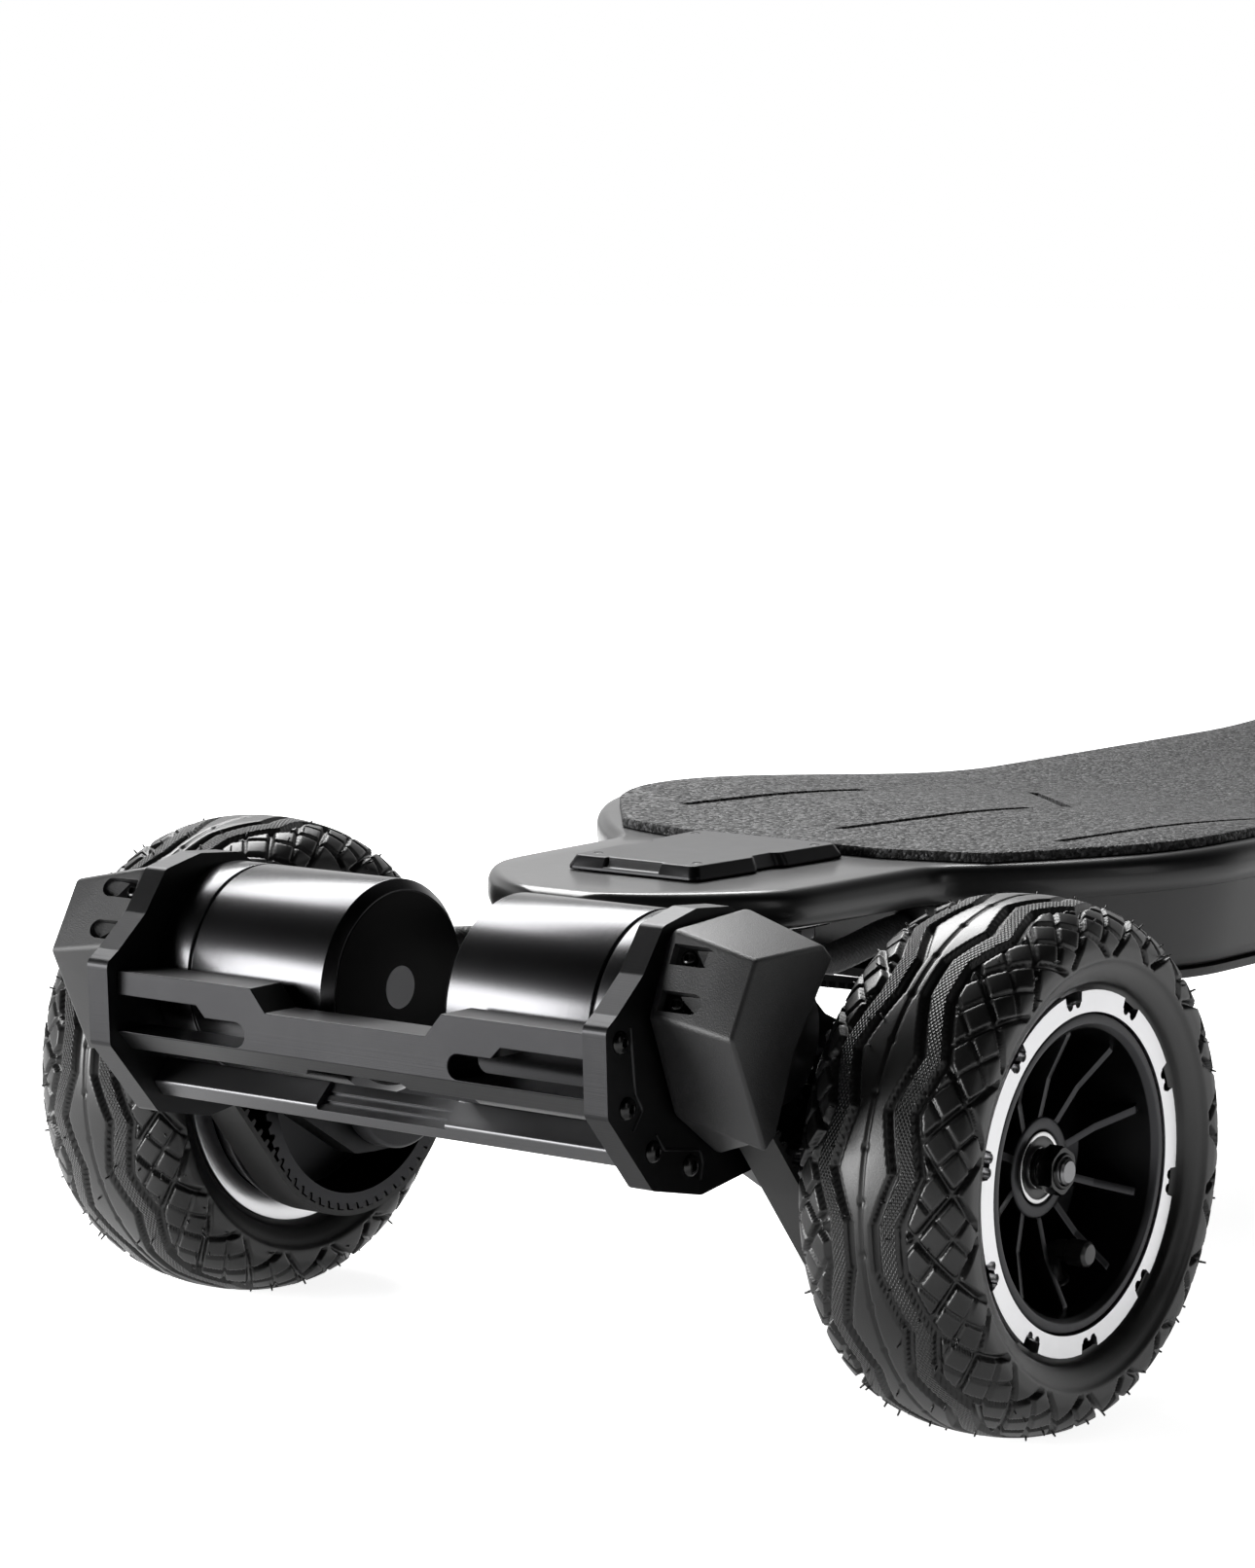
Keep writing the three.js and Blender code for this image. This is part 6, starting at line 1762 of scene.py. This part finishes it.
def tread(turn, row):
    """How far the surface lies below the smooth tyre, and where the knurled band is."""
    phase = np.mod(RIB_START - np.degrees(turn), RIB_PERIOD)
    across = np.abs(row)
    scale = tyre_radius * radians(1)
    rib = np.interp(phase, RIB_TURNS, RIB_HALVES)
    whole_turns = np.arange(0, RIB_PERIOD + 1)
    slope = np.gradient(np.interp(whole_turns, RIB_TURNS, RIB_HALVES)) / scale
    steep = np.sqrt(1 + np.interp(phase, whole_turns, slope) ** 2)
    inner = (across - rib) / steep
    outer = (across - rib - BAND - 2) / steep
    depth = cut(inner, 0.85, 2.3)
    depth = np.maximum(depth, cut(outer, 0.8, 2.1))
    sipe = 0.35 + 0.5 * np.exp(-((np.mod(np.degrees(turn) + 4, 11.25) - 5.6) ** 2) / 0.5)
    depth = np.maximum(depth, cut(across, sipe * 0.6, 0.9, 0.5))
    outside = across > rib + BAND + 2
    for lean, start, half_width, deep, limit in LATTICE:
        along = np.mod(np.degrees(turn) + start + lean * across * 0.9, LATTICE_PERIOD) - LATTICE_PERIOD / 2
        near = along * scale * 0.81
        line = cut(near, half_width, deep)
        depth = np.maximum(depth, np.where(outside & (across < limit), line, 0))
    shoulder = np.clip((across - 38.2) / 1.2, 0, 1)
    depth = np.maximum(depth, 0.7 * shoulder)
    for middle, wide in ((48.5, 0.5), (51, 0.35)):
        depth = np.maximum(depth, 0.7 * shoulder + cut(across - middle, wide, 0.6, 0.5))
    band = np.clip(np.minimum(inner - 1.7, -outer - 1.6), 0, 0.5) * 2
    return depth, band


profile_line = tyre_profile()
tyre_rows, tyre_spots, tyre_out = sample_profile(profile_line)
print("tyre grid", COLUMNS, "by", len(tyre_rows))

# %% [markdown]
# The tyre's points are computed as whole arrays, which takes a moment where a loop over half a
# million points would take minutes. Thin rubber hairs from the mould stand on the tread, and
# the knurling is left to the finish, which finds its band through an attribute of the mesh.

# %% Tyre mesh


def nubs(count, seed):
    """The little rubber hairs that the mould leaves, as thin cones standing on the tread."""
    draw = np.random.default_rng(seed)
    shapes = []
    for _ in range(count):
        k = int(draw.integers(0, len(tyre_rows)))
        while abs(tyre_rows[k]) > 36 or abs(tyre_rows[k]) < 3:
            k = int(draw.integers(0, len(tyre_rows)))
        turn = draw.uniform(0, 2 * pi)
        x, r = tyre_spots[k]
        nx, nr = tyre_out[k]
        base = Vector((x - nx * 0.6, (r - nr * 0.6) * cos(turn), (r - nr * 0.6) * sin(turn)))
        way = Vector((nx, nr * cos(turn), nr * sin(turn)))
        side_lean = Vector(draw.uniform(-0.5, 0.5, 3))
        tip = base + (way + side_lean * 0.5) * draw.uniform(1.4, 2.4)
        shapes.append(pipe([base, (base + tip) / 2, tip], [0.42, 0.36, 0.3], 5))
    return joined(*shapes)


def tyre_mesh(finish):
    turns = np.arange(COLUMNS) * 2 * pi / COLUMNS
    turn, row = np.meshgrid(turns, tyre_rows, indexing="ij")
    depth, band = tread(turn, row)
    x = tyre_spots[None, :, 0] - depth * tyre_out[None, :, 0]
    r = tyre_spots[None, :, 1] - depth * tyre_out[None, :, 1]
    # The angle is counted from the rear upwards, as seen on the right-hand wheel.
    points = np.stack([x, -r * np.cos(turn), r * np.sin(turn)], axis=2).reshape(-1, 3)
    rows = len(tyre_rows)
    i, k = np.meshgrid(np.arange(COLUMNS), np.arange(rows - 1), indexing="ij")
    j = (i + 1) % COLUMNS
    corners = [i * rows + k, i * rows + k + 1, j * rows + k + 1, j * rows + k]
    quads = np.stack(corners, axis=2).reshape(-1, 4)
    hair_points, hair_faces = nubs(HAIRS, HAIR_SEED)
    start = len(points)
    faces = [tuple(q) for q in quads.tolist()] + [tuple(start + n for n in face) for face in hair_faces]
    mesh = bpy.data.meshes.new("air_tyre")
    mesh.from_pydata((np.concatenate([points, np.array(hair_points)]) * MM).tolist(), [], faces)
    mark = mesh.attributes.new("knurl", "FLOAT", "POINT")
    values = np.concatenate([band.reshape(-1), np.zeros(len(hair_points))])
    mark.data.foreach_set("value", values.astype(np.float32))
    layer = mesh.uv_layers.new(name="around")
    round_mm = np.stack([i, i, i + 1, i + 1], axis=2).reshape(-1) * 2 * pi * tyre_radius / COLUMNS
    near, far = tyre_rows[k], tyre_rows[k + 1]
    across_mm = np.stack([near, far, far, near], axis=2).reshape(-1)
    flat = np.zeros(len(mesh.loops) * 2, np.float32)
    flat[0 : 2 * len(round_mm) : 2] = round_mm
    flat[1 : 2 * len(round_mm) : 2] = across_mm
    layer.data.foreach_set("uv", flat)
    mesh.shade_smooth()
    mesh.materials.append(finish)
    return mesh


def tyre_finish():
    """Black rubber: a soft sheen, a fine tooth, dust in the tread, and diamond knurling on the band."""
    material = bpy.data.materials.new("tyre_rubber")
    material.use_nodes = True
    tree = material.node_tree
    shader = tree.nodes["Principled BSDF"]
    where = add(tree, "TexCoord").outputs["Object"]
    hands = use_group(
        tree,
        HANDLING,
        {
            "Vector": where,
            "Color": (0.005, 0.005, 0.005, 1),
            "Dust Color": (0.03, 0.03, 0.03, 1),
            "Dust": 0.15,
            "Gloss": 0.36,
            "Gloss Change": 0.2,
            "Patch Size mm": 25.0,
        },
    )
    tree.links.new(hands["Color"], shader.inputs["Base Color"])
    tree.links.new(hands["Roughness"], shader.inputs["Roughness"])
    around = add(tree, "SeparateXYZ", {0: add(tree, "UVMap", uv_map="around").outputs[0]}).outputs
    waves = []
    for sign in (1.0, -1.0):
        slant = math(tree, "ADD", math(tree, "MULTIPLY", around[0], 0.62 * sign), around[1])
        waves.append(math(tree, "ABSOLUTE", math(tree, "SINE", math(tree, "MULTIPLY", slant, 2.6))))
    knurled = add(tree, "Attribute", attribute_name="knurl").outputs["Fac"]
    diamonds = math(tree, "MULTIPLY", math(tree, "MULTIPLY", waves[0], waves[1]), knurled)
    tooth = use_group(tree, FINE_GRAIN, {"Vector": where, "Grain Size mm": 0.5})["Height"]
    height = math(tree, "ADD", math(tree, "MULTIPLY", diamonds, 0.5), math(tree, "MULTIPLY", tooth, 0.05))
    relief = add(tree, "Bump", {"Height": height, "Strength": 0.8, "Distance": 0.9 * MM})
    tree.links.new(relief.outputs[0], shader.inputs["Normal"])
    return material


TYRE_RUBBER = tyre_finish()
shared_tyre = tyre_mesh(TYRE_RUBBER)
for end in ENDS:
    for side in SIDES:
        body, here, node = f"wheel_{end}_{side}", wheel_place[end, side], f"tyre_{end}_{side}"
        put(f"{end}_{side}_air_tyre", shared_tyre, body, here, [node])
print("tyre mesh", len(shared_tyre.vertices), "points")

# %% [markdown]
# A rim is a turned aluminium barrel, anodised black, with ten thin ribs between its hub and
# the barrel. Outside it carries a machined bright ring with a notch in front of every rib.
# The barrel and the ribs are joined by a Boolean, so that there is one clean surface.

# %% Rims and rings
RIB_COUNT = 10
RING_IN, RING_OUT = 47.6, 54.1
NOTCH_HALF, NOTCH_DEPTH, NOTCH_BACK = 4.5, 3, 0.985
NOTCH_TURN, RIB_TURN, RIB_PITCH = 24, 18, 36
SCOOP_RADIUS = 1.5
BAND_IN, BAND_OUT = 46.4, 53.9
VALVE_TURN = radians(-67)
ALONG_VALVE = Matrix.Translation((4, 0, 0)) @ Matrix.Rotation(VALVE_TURN, 4, "X") @ QUARTER_TURN


def rim():
    barrel = [
        (-22.6, 45.6),
        (-22.6, 54.2),
        (-20, 54.2),
        (-20, 49.4),
        (20, 49.4),
        (20, 47.1),
        (22.8, 47.1),
        (22.8, 44.2),
        (21.2, 42.6),
        (-2, 39),
        (-6, 35),
        (-6, 15.3),
        (9, 15.3),
        (9, 11),
        (-14, 11),
        (-14, 15.3),
        (-9.2, 15.3),
        (-9.2, 38),
        (-13, 45),
    ]
    body = turned(rounded(barrel, 0.9, 3), 128)
    ribs = []
    for i in range(RIB_COUNT):
        shape = rounded([(-7, 14), (8.4, 14), (11.5, 27), (19.6, 43.5), (-7, 41)], 2.2, 4)
        flat = soft_edges(slab(shape, -1.2, 1.2, "z"), 0.45, 2)
        ribs.append(changed(flat, Matrix.Rotation(radians(RIB_TURN + RIB_PITCH * i), 4, "X")))
    valve_hole = changed(rod(4.6, 34, 52, 0, 32), ALONG_VALVE)
    return boolean("DIFFERENCE", boolean("UNION", body, *ribs), valve_hole)


def rim_ring():
    """A bright ring with square notches in its outer edge and two half-round scoops in each."""
    outline = []
    half = degrees(NOTCH_HALF / RING_OUT)
    for i in range(RIB_COUNT):
        middle = NOTCH_TURN + RIB_PITCH * i
        outline.append((middle - half, RING_OUT))
        outline += [(middle + half * share, RING_OUT - NOTCH_DEPTH) for share in (-0.95, 0.95)]
        outline += [(middle + half + (RIB_PITCH - 2 * half) * k / 6, RING_OUT) for k in range(6)]
    flat = [(r * cos(radians(t)), r * sin(radians(t))) for t, r in outline]
    ring = slab(flat, 20.3, 23.2, "x", [circle(RING_IN, 128)])
    smaller = [(y * NOTCH_BACK, z * NOTCH_BACK) for y, z in flat]
    ring = joined(ring, slab(smaller, 17.6, 20.3, "x", [circle(49.5, 128)]))
    pockets = []
    for i in range(RIB_COUNT):
        for side in (-1, 1):
            turn = radians(NOTCH_TURN + RIB_PITCH * i + side * half * 0.5)
            r = RING_OUT - NOTCH_DEPTH
            scoop = rod(SCOOP_RADIUS, 21.2, 24, 0, 24)
            pockets.append(shifted(scoop, 0, r * cos(turn), r * sin(turn)))
    return boolean("DIFFERENCE", ring, *pockets)


def inner_band():
    """The bright machined band on the inboard lip of the rim."""
    low, high = -22.95, -22.4
    profile = [(low, BAND_IN), (low, BAND_OUT), (high, BAND_OUT + 0.1), (high, BAND_IN)]
    return turned(rounded(profile, 0.2, 2), 128)


def valve_stem():
    """A bent stem with a ribbed cap. It comes through the rim and turns outwards."""
    out = Vector((0, cos(VALVE_TURN), sin(VALVE_TURN)))
    knots = [(4, 51.4), (4, 40), (4.6, 33), (8.5, 29), (13.5, 29)]
    stem = pipe(smooth_path([(x, *(out * r).yz) for x, r in knots], 30), 3.2, 32)
    foot = [(40, 3), (40, 4.6), (41.5, 5.6), (43.5, 5.6), (43.5, 3)]
    grommet = changed(turned(rounded(foot, 0.5, 3), 40), ALONG_VALVE)
    cap = spun([(12.5, 0), (12.5, 4), (18.6, 4), (19.5, 3), (19.5, 0)], 0.6, 3, 40)
    return joined(stem, grommet, shifted(cap, 0, *(out * 29).yz))


rim_mesh = to_mesh("rim", rim(), ANODISED)
ring_mesh = to_mesh("rim_ring", rim_ring(), MACHINED)
band_mesh = to_mesh("inner_band", inner_band(), MACHINED)
valve_mesh = to_mesh("valve", valve_stem(), SHIELD)
print("rim", len(rim_mesh.vertices), "points")

# %% [markdown]
# Two ball bearings sit in each hub, with a spacer between their inner races. Steel races and
# black rubber seals are two meshes, since they have two finishes.

# %% Bearings
BEARING_STARTS = (-14, 2)
BEARING = 7


def bearing_races():
    """Outer and inner races of both bearings, with the spacer between them."""
    parts = []
    for low in BEARING_STARTS:
        parts.append(sleeve_ring(low, low + BEARING, 9.3, 10.7, 0.3, 2, 72))
        parts.append(sleeve_ring(low, low + BEARING, 4.3, 6.1, 0.3, 2, 72))
    parts.append(turned([(-7, 4.3), (-7, 6.4), (2, 6.4), (2, 4.3)], 48))
    return joined(*parts)


def bearing_seals():
    dished = [(0.3, 6.1), (0.7, 7.6), (0.3, 9.3), (6.7, 9.3), (6.7, 6.1)]
    seal = turned(rounded(dished, 0.2, 2), 72)
    return joined(*[shifted(seal, low) for low in BEARING_STARTS])


race_mesh = to_mesh("races", bearing_races(), STEEL)
seal_mesh = to_mesh("seals", bearing_seals(), SHIELD)
for end in ENDS:
    for side in SIDES:
        wheel = f"{end}_{side}"
        on_wheel = (f"wheel_{wheel}", wheel_place[end, side])
        put(f"{wheel}_rim_barrel", rim_mesh, *on_wheel, [f"rim_{wheel}"])
        ring = put(f"{wheel}_bright_ring", ring_mesh, *on_wheel, [f"rim_ring_{wheel}"])
        ease(ring, 0.25, 2)
        put(f"{wheel}_inner_band", band_mesh, *on_wheel)
        put(f"{wheel}_valve", valve_mesh, *on_wheel, slot="tyre_rubber")
        put(f"{wheel}_bearing_races", race_mesh, *on_wheel, [f"bearing_set_{wheel}"])
        put(f"{wheel}_bearing_seals", seal_mesh, *on_wheel)
print(len(made_pieces), "pieces made")

# %% [markdown]
# A few solids of the model are right as they are and stay hidden inside the board: the cells,
# the controller and the rotors. They only get a finish. The model's box and the finished
# board's box are written down last, so that they can be compared.

# %% Inner nodes and the end
KEPT = {
    "battery_pack": PACK_WRAP,
    "speed_controller": FORGED,
    "motor_rotor_left": STEEL,
    "motor_rotor_right": STEEL,
}
for node, finish in KEPT.items():
    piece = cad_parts[node]
    if not piece.material_slots:
        piece.data.materials.append(finish)
    for slot in piece.material_slots:
        slot.link = "OBJECT"
        slot.material = finish

looks_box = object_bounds()
sizes = {
    "cad": [list(corner) for corner in cad_box],
    "visual": [list(corner) for corner in looks_box],
}
for label, (low, high) in sizes.items():
    print(label, [round((b - a) * 1000, 1) for a, b in zip(low, high)], "mm")
